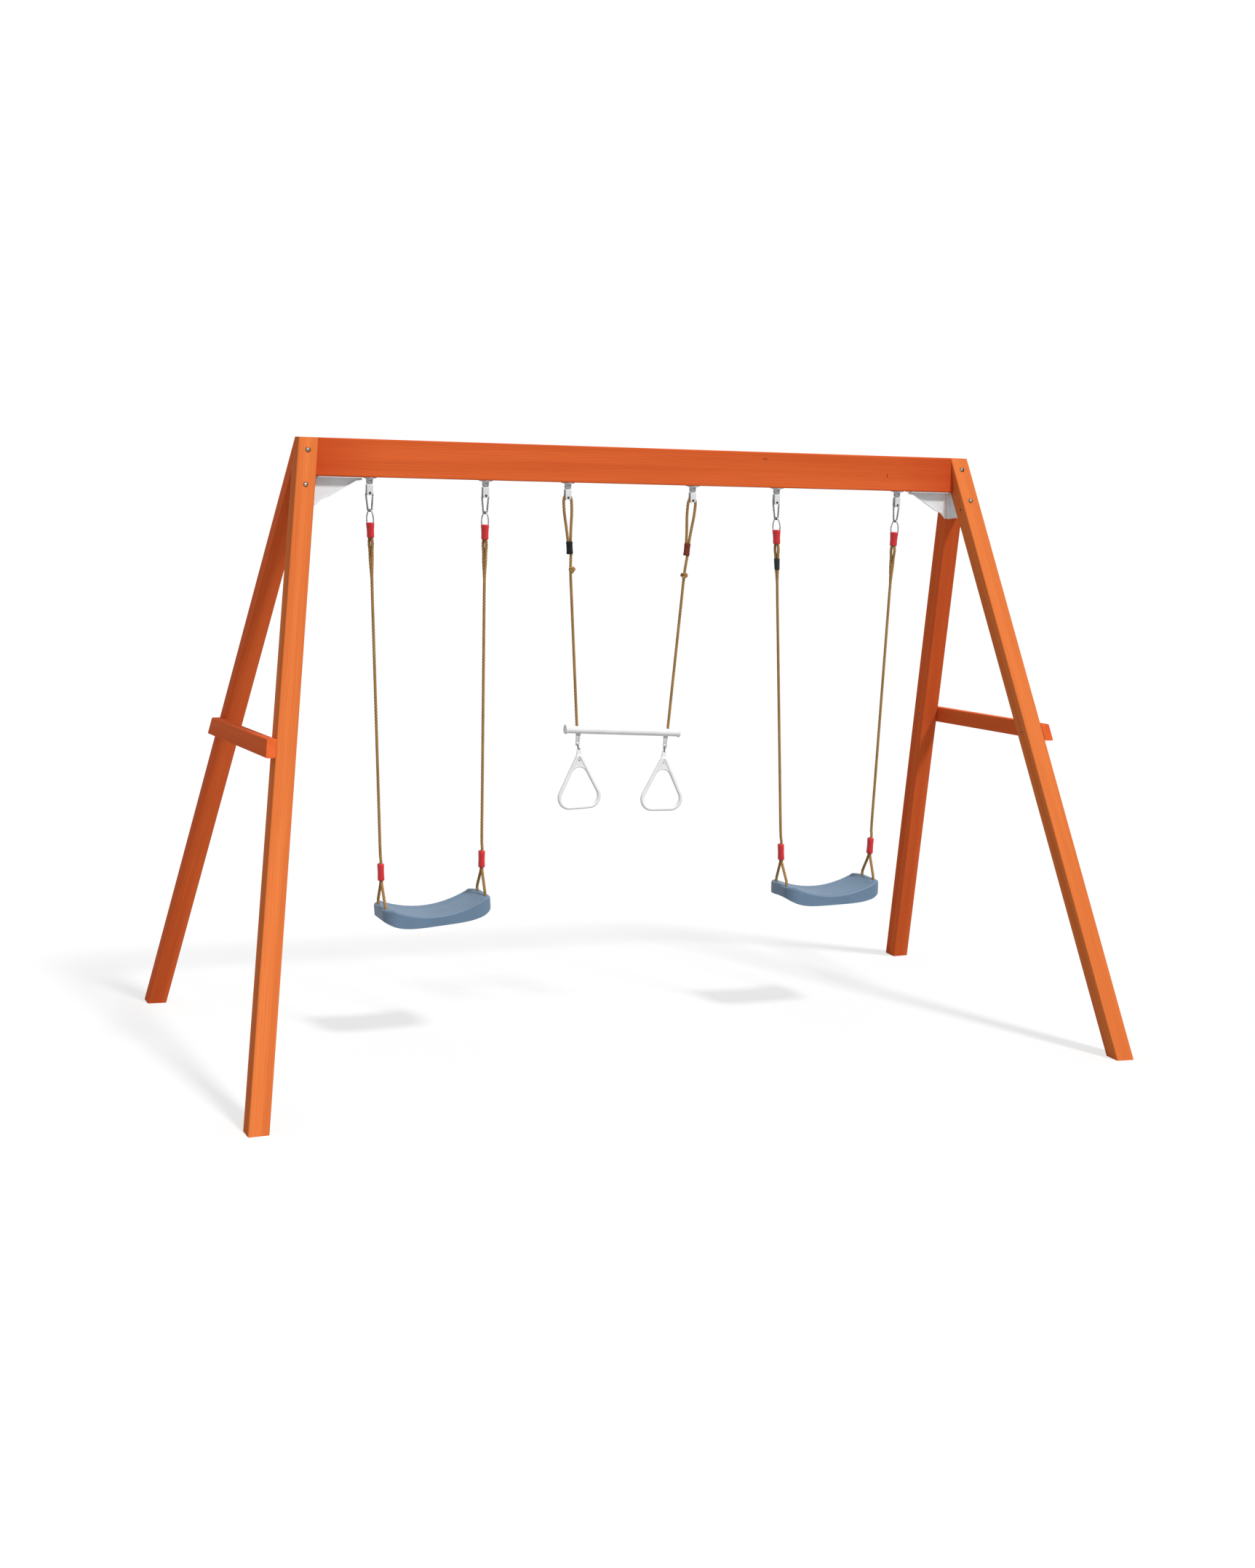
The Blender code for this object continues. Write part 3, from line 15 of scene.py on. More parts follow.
import bmesh
import bpy
import numpy as np
from mathutils import Matrix, Vector


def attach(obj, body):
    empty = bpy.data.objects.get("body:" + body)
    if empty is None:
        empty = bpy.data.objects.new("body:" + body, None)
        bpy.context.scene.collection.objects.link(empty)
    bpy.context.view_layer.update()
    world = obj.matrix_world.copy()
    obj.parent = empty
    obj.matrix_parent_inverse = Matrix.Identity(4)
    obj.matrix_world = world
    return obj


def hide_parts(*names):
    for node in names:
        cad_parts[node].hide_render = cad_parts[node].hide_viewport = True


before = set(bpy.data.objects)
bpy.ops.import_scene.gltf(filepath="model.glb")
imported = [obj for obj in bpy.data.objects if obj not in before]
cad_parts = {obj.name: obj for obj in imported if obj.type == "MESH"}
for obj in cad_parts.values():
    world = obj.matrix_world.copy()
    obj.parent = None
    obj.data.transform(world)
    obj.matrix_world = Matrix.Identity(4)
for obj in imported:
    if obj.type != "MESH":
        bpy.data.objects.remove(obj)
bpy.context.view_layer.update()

log = logging.getLogger("swing_set")

Point = tuple[float, float, float]
Pair = tuple[float, float]
Colour = tuple[float, float, float, float]
Socket = bpy.types.NodeSocket
Thing = bpy.types.Object

NEAR = 0.0001  # metres within which points count as level
FINE = 0.00001  # metres within which doubled points are merged


class Side(Enum):
    """The two ends of the swing set, or of a piece that hangs from it."""

    LEFT = -1
    RIGHT = 1

    @property
    def word(self) -> str:
        """The side's name in the names of pieces."""
        return self.name.lower()


# Modelling, as by hand


def only(piece: Thing) -> None:
    """Makes a piece the active one and the only one selected."""
    bpy.ops.object.select_all(action="DESELECT")
    piece.select_set(True)
    bpy.context.view_layer.objects.active = piece


def linked(piece: Thing) -> Thing:
    """Puts a new object in the scene, as the only one selected, and hands it back."""
    bpy.context.scene.collection.objects.link(piece)
    only(piece)
    return piece


@contextmanager
def editing(piece: Thing, every: bool = False) -> Iterator[None]:
    """Edit mode on one piece.

    Args:
        piece: the mesh object to edit.
        every: whether all of it is selected at the start, or nothing.
    """
    only(piece)
    bpy.ops.object.mode_set(mode="EDIT")
    bpy.ops.mesh.select_mode(type="VERT")
    bpy.ops.mesh.select_all(action="SELECT" if every else "DESELECT")
    yield
    bpy.ops.object.mode_set(mode="OBJECT")


def pick(piece: Thing, kind: str, test: Callable[..., bool]) -> None:
    """Selects the parts of a mesh in edit mode that pass a test, and nothing else.

    Args:
        piece: the mesh in edit mode.
        kind: "verts", "edges" or "faces".
        test: takes one vertex, edge or face, and says whether it is selected.
    """
    mode = {"verts": "VERT", "edges": "EDGE", "faces": "FACE"}[kind]
    bpy.ops.mesh.select_mode(type=mode)
    bpy.ops.mesh.select_all(action="DESELECT")
    shape = bmesh.from_edit_mesh(piece.data)
    for part in getattr(shape, kind):
        if test(part):
            part.select = True
    shape.select_flush_mode()
    bmesh.update_edit_mesh(piece.data)


def new_piece(name: str) -> Thing:
    """The primitive just added, under its name and the only one selected."""
    piece = bpy.context.active_object
    piece.name = piece.data.name = name
    only(piece)
    return piece


def apply_all(piece: Thing) -> None:
    """Applies every modifier of a piece, in order."""
    only(piece)
    for modifier in list(piece.modifiers):
        bpy.ops.object.modifier_apply(modifier=modifier.name)


def bevelled(piece: Thing, width: float, segments: int = 2, angle: float = 40.0) -> None:
    """Rounds the sharp edges of a piece.

    Args:
        piece: the mesh object.
        width: of the bevel, in metres.
        segments: across the bevel.
        angle: edges sharper than this are rounded, in degrees.
    """
    modifier = piece.modifiers.new("rounding", "BEVEL")
    modifier.width = width
    modifier.segments = segments
    modifier.limit_method = "ANGLE"
    modifier.angle_limit = math.radians(angle)
    apply_all(piece)


def settled(piece: Thing, place: Matrix | None = None, angle: float = 35.0) -> Thing:
    """Puts a finished piece in its place, with that place in its mesh and the object at the origin.

    Args:
        piece: the mesh object.
        place: where the piece's own origin and axes go.
        angle: edges sharper than this stay sharp in the shading, in degrees.

    Returns:
        The piece.
    """
    apply_all(piece)
    if place is not None:
        piece.matrix_world = place @ piece.matrix_world
    bpy.ops.object.transform_apply(location=True, rotation=True, scale=True)
    bpy.ops.object.shade_smooth_by_angle(angle=math.radians(angle))
    return piece


def outwards(piece: Thing, merge: float = 0.0) -> None:
    """Merges doubled points where asked, and turns all faces outwards."""
    with editing(piece, every=True):
        if merge:
            bpy.ops.mesh.remove_doubles(threshold=merge)
        bpy.ops.mesh.normals_make_consistent(inside=False)
        if bmesh.from_edit_mesh(piece.data).calc_volume(signed=True) < 0:
            bpy.ops.mesh.flip_normals()


def joined(name: str, parts: Sequence[Thing]) -> Thing:
    """Several meshes as one piece.

    Args:
        name: of the piece.
        parts: the meshes, whose first one takes the others in.

    Returns:
        The piece.
    """
    bpy.ops.object.select_all(action="DESELECT")
    for part in parts:
        part.select_set(True)
    bpy.context.view_layer.objects.active = parts[0]
    bpy.ops.object.join()
    return new_piece(name)


def drawn_line(name: str, points: Sequence[Point]) -> Thing:
    """A line of vertices extruded from one to the next, left selected at its last vertex."""
    bpy.ops.mesh.primitive_plane_add(size=0.001, location=(0, 0, 0))
    piece = new_piece(name)
    with editing(piece, every=True):
        bpy.ops.mesh.merge(type="CENTER")
        bpy.ops.transform.translate(value=points[0])
        for before, after in zip(points, points[1:]):
            step = Vector(after) - Vector(before)
            bpy.ops.mesh.extrude_region_move(TRANSFORM_OT_translate={"value": step})
    return piece


def turned(
    name: str, profile: Sequence[Pair], steps: int = 24, place: Matrix | None = None, angle: float = 35.0
) -> Thing:
    """A turned form: its profile drawn as a line and spun round the Z axis.

    Args:
        name: of the piece.
        profile: (radius, height) points, from one end on the axis to the other.
        steps: round the axis.
        place: where the form goes.
        angle: edges sharper than this stay sharp, in degrees.

    Returns:
        The piece.
    """
    piece = drawn_line(name, [(radius, 0, height) for radius, height in profile])
    with editing(piece, every=True):
        bpy.ops.mesh.spin(steps=steps, angle=2 * math.pi, center=(0, 0, 0), axis=(0, 0, 1))
    outwards(piece, FINE)
    return settled(piece, place, angle)


def plate(
    name: str,
    outline: Sequence[Pair],
    thickness: float,
    rounding: float = 0.0,
    place: Matrix | None = None,
    segments: int = 2,
) -> Thing:
    """A flat plate: its outline drawn, filled and extruded, standing in the XZ plane about Y = 0.

    Args:
        name: of the piece.
        outline: (x, z) corners, in order.
        thickness: along Y.
        rounding: of its sharp edges.
        place: where the plate goes.
        segments: across the rounding.

    Returns:
        The piece.
    """
    piece = drawn_line(name, [(a, -thickness / 2, b) for a, b in outline])
    with editing(piece, every=True):
        bpy.ops.mesh.edge_face_add()
        bpy.ops.mesh.extrude_region_move(TRANSFORM_OT_translate={"value": (0, thickness, 0)})
    outwards(piece)
    if rounding:
        bevelled(piece, rounding, segments)
    return settled(piece, place)


def wire(
    name: str,
    points: Sequence[Point],
    radius: float,
    place: Matrix | None = None,
    closed: bool = False,
    tapers: dict[int, float] | None = None,
) -> Thing:
    """A round wire along a line: a curve with a round bevel, made a mesh.

    Args:
        name: of the piece.
        points: the wire's centre line.
        radius: of the wire.
        place: where the wire goes.
        closed: whether the last point meets the first.
        tapers: shares of the radius at single points, by their place in the line.

    Returns:
        The piece.
    """
    line = bpy.data.curves.new(name, "CURVE")
    line.dimensions = "3D"
    line.bevel_depth = radius
    line.bevel_resolution = 4
    line.use_fill_caps = True
    spline = line.splines.new("POLY")
    spline.points.add(len(points) - 1)
    for spot, point in zip(spline.points, points):
        spot.co = (*point, 1)
    for index, share in (tapers or {}).items():
        spline.points[index].radius = share
    spline.use_cyclic_u = closed
    linked(bpy.data.objects.new(name, line))
    bpy.ops.object.convert(target="MESH")
    piece = new_piece(name)
    outwards(piece, 0.000001)
    return settled(piece, place, 50)


def copied(piece: Thing, name: str, place: Matrix) -> Thing:
    """A copy of a finished piece with its own mesh, moved by the matrix given."""
    twin = piece.copy()
    twin.data = piece.data.copy()
    linked(twin)
    twin = new_piece(name)
    twin.matrix_world = place
    bpy.ops.object.transform_apply(location=True, rotation=True, scale=True)
    return twin


def rotation(degrees: float, axis: str) -> Matrix:
    """A turn about one of the axes."""
    return Matrix.Rotation(math.radians(degrees), 4, axis)


def facing(place: Sequence[float], direction: Vector) -> Matrix:
    """A frame at that place, with its Z axis along the direction."""
    return Matrix.Translation(place) @ direction.to_track_quat("Z", "Y").to_matrix().to_4x4()


def mirrored(end: Sequence[Pair]) -> list[Pair]:
    """The whole profile of a form that is alike above and below, from its upper end."""
    return [(r, -z) for r, z in end] + [(r, z) for r, z in reversed(end)]


def eased(share: float) -> float:
    """A share from 0 to 1 that starts and ends slowly."""
    return share * share * (3 - 2 * share)


def arc(centre: Pair, radius: float, start: float, end: float, steps: int) -> list[Pair]:
    """Points on an arc in a plane, from start to end in degrees."""
    angles = np.radians(np.linspace(start, end, steps + 1))
    return [(centre[0] + radius * math.cos(a), centre[1] + radius * math.sin(a)) for a in angles]


# Finishes


class Tree:
    """A material's or a group's node tree, with short ways to add to it."""

    def __init__(self, tree: bpy.types.NodeTree) -> None:
        """Keeps the tree."""
        self.tree = tree

    def node(self, kind: str, **settings: object) -> bpy.types.Node:
        """A new node of that kind with its settings."""
        made = self.tree.nodes.new(kind)
        for name, value in settings.items():
            setattr(made, name, value)
        return made

    def link(self, source: Socket, target: Socket) -> None:
        """Joins two sockets."""
        self.tree.links.new(source, target)

    def fill(self, socket: Socket, value: Socket | float | Sequence[float]) -> None:
        """Feeds a socket from another socket, or sets its value."""
        if isinstance(value, bpy.types.NodeSocket):
            self.link(value, socket)
        else:
            socket.default_value = value

    def maths(self, operation: str, *values: Socket | float, clamp: bool = False) -> Socket:
        """The result of a Math node."""
        made = self.node("ShaderNodeMath", operation=operation, use_clamp=clamp)
        for socket, value in zip(made.inputs, values):
            self.fill(socket, value)
        return made.outputs[0]

    def vector(self, operation: str, *values: Socket | Sequence[float]) -> bpy.types.Node:
        """A Vector Math node."""
        made = self.node("ShaderNodeVectorMath", operation=operation)
        for socket, value in zip(made.inputs, values):
            self.fill(socket, value)
        return made

    def times(self, value: Socket, share: Socket | float) -> Socket:
        """A value multiplied."""
        return self.maths("MULTIPLY", value, share)

    def stretched(self, vector: Socket, sizes: Point) -> Socket:
        """A vector with each of its parts multiplied."""
        return self.vector("MULTIPLY", vector, sizes).outputs[0]

    def noise(self, vector: Socket, scale: Socket | float, detail: float = 2.0, roughness: float = 0.5) -> Socket:
        """The value of a Noise texture, about 0.5."""
        made = self.node("ShaderNodeTexNoise")
        for word, value in (("Vector", vector), ("Scale", scale), ("Detail", detail), ("Roughness", roughness)):
            self.fill(made.inputs[word], value)
        return made.outputs["Fac"]

    def span(self, value: Socket, low: float, high: float, to_low: float = 0.0, to_high: float = 1.0) -> Socket:
        """A value moved from one range to another, and kept in it."""
        made = self.node("ShaderNodeMapRange")
        self.link(value, made.inputs["Value"])
        for name, number in (("From Min", low), ("From Max", high), ("To Min", to_low), ("To Max", to_high)):
            made.inputs[name].default_value = number
        return made.outputs["Result"]

    def mix(self, share: Socket | float, first: Socket | Sequence[float], second: Socket | Sequence[float]) -> Socket:
        """Two colours mixed by a share."""
        made = self.node("ShaderNodeMix", data_type="RGBA")
        self.fill(made.inputs["Factor"], share)
        colours = [socket for socket in made.inputs if socket.type == "RGBA"]
        self.fill(colours[0], first)
        self.fill(colours[1], second)
        return next(socket for socket in made.outputs if socket.type == "RGBA")


def colour(red: float, green: float, blue: float) -> Colour:
    """A colour as it looks on a screen, 0 to 255, as the linear colour that a shader takes."""

    def linear(value: float) -> float:
        """One part of the colour."""
        share = value / 255
        return share / 12.92 if share <= 0.04045 else ((share + 0.055) / 1.055) ** 2.4

    return (linear(red), linear(green), linear(blue), 1.0)


def toned(tint: Sequence[float], share: float) -> list[float]:
    """A colour with a share of its light."""
    return [share * part for part in tint[:3]] + [1.0]


def node_group(name: str, inputs: dict[str, str], outputs: dict[str, str]) -> tuple[Tree, dict, dict]:
    """A new shader node group.

    Args:
        name: of the group.
        inputs: socket types by name.
        outputs: socket types by name.

    Returns:
        The group's tree, its inner input sockets and its inner output sockets, by name.
    """
    group = bpy.data.node_groups.new(name, "ShaderNodeTree")
    for words, direction in ((inputs, "INPUT"), (outputs, "OUTPUT")):
        for word, kind in words.items():
            group.interface.new_socket(word, in_out=direction, socket_type=f"NodeSocket{kind}")
    tree = Tree(group)
    start = tree.node("NodeGroupInput")
    end = tree.node("NodeGroupOutput")
    return tree, {word: start.outputs[word] for word in inputs}, {word: end.inputs[word] for word in outputs}


def timber_group() -> bpy.types.NodeTree:
    """Grain of a sawn timber, whose length is X in the group's own coordinates.

    Returns:
        A group that puts out the broad lamella tone, the growth rings, the fine fibre and the pores.
    """
    if "timber_grain" in bpy.data.node_groups:
        return bpy.data.node_groups["timber_grain"]
    tree, given, made = node_group(
        "timber_grain",
        {"Vector": "Vector", "Seed": "Float"},
        {"Tone": "Float", "Rings": "Float", "Fibre": "Float", "Pores": "Float"},
    )
    shift = tree.node("ShaderNodeCombineXYZ")
    for socket in shift.inputs:
        tree.link(given["Seed"], socket)
    own = tree.vector("ADD", given["Vector"], shift.outputs[0]).outputs[0]
    broad = tree.stretched(own, (0.7, 26.0, 26.0))
    tree.link(tree.noise(broad, 1.0, 2.0, 0.55), made["Tone"])
    bent = tree.noise(tree.stretched(own, (0.9, 5.0, 5.0)), 1.0, 2.0)
    heart = tree.stretched(own, (0.0, 1.0, 1.0))
    length = tree.vector("LENGTH", heart).outputs["Value"]
    uneven = tree.maths("ADD", length, tree.times(bent, 0.055))
    wave = tree.maths("SINE", tree.times(uneven, 900.0))
    tree.link(tree.span(wave, -1.0, 1.0), made["Rings"])
    fine = tree.stretched(own, (6.0, 420.0, 420.0))
    tree.link(tree.noise(fine, 1.0, 3.0, 0.6), made["Fibre"])
    short = tree.stretched(own, (7.0, 700.0, 700.0))
    tree.link(tree.span(tree.noise(short, 1.0, 2.0), 0.56, 0.80), made["Pores"])
    return tree.tree


def mottle_group() -> bpy.types.NodeTree:
    """Slow and fine unevenness that painted, plated and moulded surfaces share.

    Returns:
        A group that puts out a slow cloud, a fine speckle and a scuff mask.
    """
    if "surface_mottle" in bpy.data.node_groups:
        return bpy.data.node_groups["surface_mottle"]
    tree, given, made = node_group(
        "surface_mottle",
        {"Vector": "Vector", "Cloud Scale": "Float", "Speckle Scale": "Float"},
        {"Cloud": "Float", "Speckle": "Float", "Scuffs": "Float"},
    )
    for word, scale in (("Cloud", "Cloud Scale"), ("Speckle", "Speckle Scale")):
        tree.link(tree.noise(given["Vector"], given[scale], 3.0), made[word])
    stretched = tree.stretched(given["Vector"], (40.0, 260.0, 110.0))
    tree.link(tree.span(tree.noise(stretched, 1.0, 2.0), 0.66, 0.76), made["Scuffs"])
    return tree.tree


@dataclass(frozen=True)
class Finish:
    """A finish of the swing set: the base of all its materials."""

    name: str
    slot: str

    def dress(self, tree: Tree, shader: bpy.types.Node, place: Socket) -> None:
        """Adds the finish's own nodes. Each kind of finish has its own."""
        raise NotImplementedError

    def material(self) -> bpy.types.Material:
        """The material of that name, made once."""
        made = bpy.data.materials.get(self.name)
        if made is not None:
            return made
        made = bpy.data.materials.new(self.name)
        made.use_nodes = True
        tree = Tree(made.node_tree)
        shader = made.node_tree.nodes["Principled BSDF"]
        place = tree.node("ShaderNodeTexCoord").outputs["Object"]
        self.dress(tree, shader, place)
        return made

    def grouped(self, tree: Tree, group: bpy.types.NodeTree, **values: Socket | float) -> bpy.types.Node:
        """A group node with its inputs fed. Underscores in the words stand for spaces."""
        made = tree.node("ShaderNodeGroup", node_tree=group)
        for word, value in values.items():
            tree.fill(made.inputs[word.replace("_", " ")], value)
        return made

    def roughened(self, tree: Tree, shader: bpy.types.Node, speckle: Socket, low: float, high: float) -> None:
        """Feeds the shader a roughness that follows a fine speckle."""
        tree.link(tree.span(speckle, 0.3, 0.7, low, high), shader.inputs["Roughness"])

    def bumped(self, tree: Tree, shader: bpy.types.Node, height: Socket, distance: float, strength: float) -> None:
        """Feeds a height to the shader as a bump."""
        bump = tree.node("ShaderNodeBump")
        bump.inputs["Strength"].default_value = strength
        bump.inputs["Distance"].default_value = distance
        tree.link(height, bump.inputs["Height"])
        tree.link(bump.outputs["Normal"], shader.inputs["Normal"])


@dataclass(frozen=True)
class Mark:
    """A small dark knot or bruise on a timber's face."""

    place: Point
    half_length: float
    half_width: float


@dataclass(frozen=True)
class StainedTimber(Finish):
    """Planed softwood under a translucent orange stain, its grain along the piece."""

    centre: Point
    along: Point
    across: Point
    light: Colour
    dark: Colour
    seed: float = 0.0
    marks: tuple[Mark, ...] = ()
    # How far from the middle the painted shade at the ends starts, and where it is fullest.
    reddened: Pair | None = None

    def dress(self, tree: Tree, shader: bpy.types.Node, place: Socket) -> None:
        """Stain over lamella bands, growth rings, fibre, pores and the timber's own marks, with painted shade, darker
        and redder, towards the ends where the legs meet it.
        """
        along = Vector(self.along).normalized()
        square = along.cross(Vector(self.across)).normalized()
        across = square.cross(along)
        turn = Matrix((along, across, square)).transposed()
        mapping = tree.node("ShaderNodeMapping", vector_type="TEXTURE")
        mapping.inputs["Location"].default_value = self.centre
        mapping.inputs["Rotation"].default_value = turn.to_euler("XYZ")
        tree.link(place, mapping.inputs["Vector"])
        own = mapping.outputs["Vector"]
        grain = self.grouped(tree, timber_group(), Vector=own, Seed=self.seed)
        tone = tree.times(tree.span(grain.outputs["Tone"], 0.34, 0.66), 0.52)
        rings = tree.times(grain.outputs["Rings"], 0.17)
        fibre = tree.times(grain.outputs["Fibre"], 0.34)
        share = tree.maths("ADD", tree.maths("ADD", tone, rings), fibre, clamp=True)
        stain = tree.mix(share, self.dark, self.light)
        pores = tree.times(grain.outputs["Pores"], 0.28)
        stain = tree.mix(pores, stain, toned(self.dark, 0.45))
        # Painted shade: darker and redder towards the ends, where the beam meets the legs.
        if self.reddened is not None:
            start, end = self.reddened
            reach = tree.maths("ABSOLUTE", self.axis(tree, own))
            joint_shade_share = tree.times(tree.span(reach, start, end), 0.55)
            red = (self.dark[0] * 0.93, self.dark[1] * 0.60, self.dark[2] * 0.62, 1.0)
            stain = tree.mix(joint_shade_share, stain, red)
        for mark in self.marks:
            stain = tree.mix(self.spot(tree, place, mark), stain, colour(92, 42, 22))
        tree.link(stain, shader.inputs["Base Color"])
        gloss = tree.span(grain.outputs["Fibre"], 0.2, 0.8, 0.56, 0.70)
        tree.link(gloss, shader.inputs["Roughness"])
        shader.inputs["Specular IOR Level"].default_value = 0.015
        height = tree.maths("SUBTRACT", grain.outputs["Fibre"], tree.times(grain.outputs["Pores"], 0.8))
        self.bumped(tree, shader, height, 0.0004, 0.35)

    def axis(self, tree: Tree, own: Socket) -> Socket:
        """The coordinate along the timber's length."""
        split = tree.node("ShaderNodeSeparateXYZ")
        tree.link(own, split.inputs[0])
        return split.outputs[0]

    def spot(self, tree: Tree, place: Socket, mark: Mark) -> Socket:
        """A mask that is 1 in the middle of a mark and fades to 0 at its edge."""
        away = tree.vector("SUBTRACT", place, mark.place).outputs[0]
        sizes = (1 / mark.half_width, 1 / 0.012, 1 / mark.half_length)
        distance = tree.vector("LENGTH", tree.stretched(away, sizes)).outputs["Value"]
        rough = tree.times(tree.noise(place, 350.0, 2.0), 0.5)
        return tree.span(tree.maths("ADD", distance, rough), 0.6, 1.35, 0.75, 0.0)


@dataclass(frozen=True)
class PaintedSteel(Finish):
    """White baked paint on pressed steel, a little duller where it was handled."""

    paint: Colour = colour(232, 234, 236)
    gloss: float = 0.34

    def dress(self, tree: Tree, shader: bpy.types.Node, place: Socket) -> None:
        """Paint with a slow change of white, faint scuffs and an orange-peel bump."""
        surface = self.grouped(tree, mottle_group(), Vector=place, Cloud_Scale=14.0, Speckle_Scale=420.0)
        cloud = tree.span(surface.outputs["Cloud"], 0.35, 0.65)
        tint = tree.mix(cloud, toned(self.paint, 0.90), self.paint)
        tint = tree.mix(tree.times(surface.outputs["Scuffs"], 0.35), tint, toned(self.paint, 0.72))
        tree.link(tint, shader.inputs["Base Color"])
        self.roughened(tree, shader, surface.outputs["Speckle"], self.gloss - 0.06, self.gloss + 0.08)
        self.bumped(tree, shader, surface.outputs["Speckle"], 0.0002, 0.25)


@dataclass(frozen=True)
class PlatedSteel(Finish):
    """Zinc-plated or bare steel wire and bolts."""

    tint: Colour = colour(136, 138, 139)
    gloss: float = 0.30
    # A colour painted towards the edges that turn from the view: painted shade.
    rim: Colour | None = None

    def dress(self, tree: Tree, shader: bpy.types.Node, place: Socket) -> None:
        """Metal with cloudy plating and darker pits, and painted shade towards its rim where a rim colour is given."""
        surface = self.grouped(tree, mottle_group(), Vector=place, Cloud_Scale=90.0, Speckle_Scale=900.0)
        tint = tree.mix(tree.span(surface.outputs["Cloud"], 0.36, 0.62), toned(self.tint, 0.62), self.tint)
        # Painted shade: the edges turned from the view darken towards the rim colour.
        if self.rim is not None:
            facing = tree.node("ShaderNodeLayerWeight").outputs["Facing"]
            tint = tree.mix(tree.span(facing, 0.08, 0.45), tint, self.rim)
        tree.link(tint, shader.inputs["Base Color"])
        shader.inputs["Metallic"].default_value = 1.0
        self.roughened(tree, shader, surface.outputs["Speckle"], self.gloss - 0.07, self.gloss + 0.12)
        self.bumped(tree, shader, surface.outputs["Speckle"], 0.0002, 0.30)


@dataclass(frozen=True)
class MouldedPlastic(Finish):
    """Moulded plastic with a fine leathery skin and a soft gloss."""

    tint: Colour
    gloss: float = 0.40
    skin: float = 700.0
    depth: float = 0.00025
    shine: float = 0.5

    def dress(self, tree: Tree, shader: bpy.types.Node, place: Socket) -> None:
        """Plastic with a slow change of tone, faint scuffs and a moulded skin."""
        surface = self.grouped(tree, mottle_group(), Vector=place, Cloud_Scale=11.0, Speckle_Scale=self.skin)
        paler = [min(1.0, 0.12 + 0.92 * part) for part in self.tint[:3]] + [1.0]
        tint = tree.mix(tree.span(surface.outputs["Cloud"], 0.34, 0.66), toned(self.tint, 0.90), self.tint)
        tint = tree.mix(tree.times(surface.outputs["Scuffs"], 0.16), tint, paler)
        tree.link(tint, shader.inputs["Base Color"])
        self.roughened(tree, shader, surface.outputs["Speckle"], self.gloss - 0.05, self.gloss + 0.09)
        shader.inputs["Specular IOR Level"].default_value = self.shine
        self.bumped(tree, shader, surface.outputs["Speckle"], self.depth, 0.30)


@dataclass(frozen=True)
class LaidRope(Finish):
    """Three-strand rope of hemp-coloured fibre. Its UV map runs round the rope and along it."""

    light: Colour
    dark: Colour

    def dress(self, tree: Tree, shader: bpy.types.Node, place: Socket) -> None:
        """Fibres along each strand, with painted shade in the grooves between the strands, and uneven dye."""
        uv = tree.node("ShaderNodeUVMap", uv_map="along_rope").outputs["UV"]
        groove = tree.node("ShaderNodeAttribute", attribute_name="groove").outputs["Fac"]
        slanted = tree.node("ShaderNodeMapping", vector_type="POINT")
        slanted.inputs["Rotation"].default_value = (0, 0, math.radians(28))
        tree.link(uv, slanted.inputs["Vector"])
        drawn = tree.stretched(slanted.outputs["Vector"], (42.0, 5.0, 1.0))
        fibres = tree.noise(drawn, 1.0, 3.0, 0.65)
        dye = tree.noise(place, 16.0, 3.0)
        fuzz = tree.noise(place, 1400.0, 2.0)
        fine = tree.times(tree.span(fibres, 0.3, 0.7), 0.65)
        share = tree.maths("ADD", fine, tree.times(tree.span(dye, 0.3, 0.7), 0.35))
        tint = tree.mix(share, self.dark, self.light)
        # Painted shade: the grooves between the strands darkened by the groove attribute.
        tint = tree.mix(tree.times(groove, 0.62), tint, toned(self.dark, 0.42))
        tree.link(tint, shader.inputs["Base Color"])
        self.roughened(tree, shader, fuzz, 0.78, 0.95)
        shader.inputs["Specular IOR Level"].default_value = 0.18
        shader.inputs["Sheen Weight"].default_value = 0.12
        shader.inputs["Sheen Roughness"].default_value = 0.6
        height = tree.maths("ADD", fibres, tree.times(fuzz, 0.5))
        self.bumped(tree, shader, height, 0.0005, 0.5)


PAINTED = PaintedSteel("white_baked_paint", "white_painted_steel")
# Painted shade: the hangers' white paint made grey for the bases' undersides, which lie in shade. The right grip's
# rivet takes it too.
SHADED_HANGER_PAINT = PaintedSteel("hanger_paint", "white_painted_steel", paint=colour(206, 209, 214), gloss=0.30)
CLEVIS_PAINT = PaintedSteel("clevis_paint", "white_painted_steel", paint=colour(222, 224, 227), gloss=0.30)
ZINC = PlatedSteel("zinc_wire", "zinc_steel")
RING_ZINC = PlatedSteel("bright_ring_wire", "zinc_steel", tint=colour(166, 168, 169), gloss=0.28)
# The bolts' dark rim colour is painted shade, standing in for the contact shadow round their heads.
BOLT_STEEL = PlatedSteel("bolt_steel", "zinc_steel", tint=colour(168, 156, 142), gloss=0.30, rim=colour(72, 56, 45))
DARK_STEEL = PlatedSteel("dark_screw_steel", "zinc_steel", tint=colour(84, 76, 70), gloss=0.38)
RED_SLEEVE = MouldedPlastic("red_sleeve_plastic", "red_plastic", tint=colour(214, 36, 42), gloss=0.42, skin=900.0)
SEAT_PLASTIC = MouldedPlastic("blue_seat_plastic", "blue_plastic", tint=colour(101, 127, 152), gloss=0.50, skin=620.0)
WHITE_PLASTIC = MouldedPlastic(
    "white_grip_plastic", "white_plastic", tint=colour(238, 239, 239), gloss=0.36, skin=500.0, depth=0.00012
)
GRIP_PLASTIC = MouldedPlastic(
    "grey_white_grip_plastic", "white_plastic", tint=colour(240, 241, 241), gloss=0.32, depth=0.00012
)
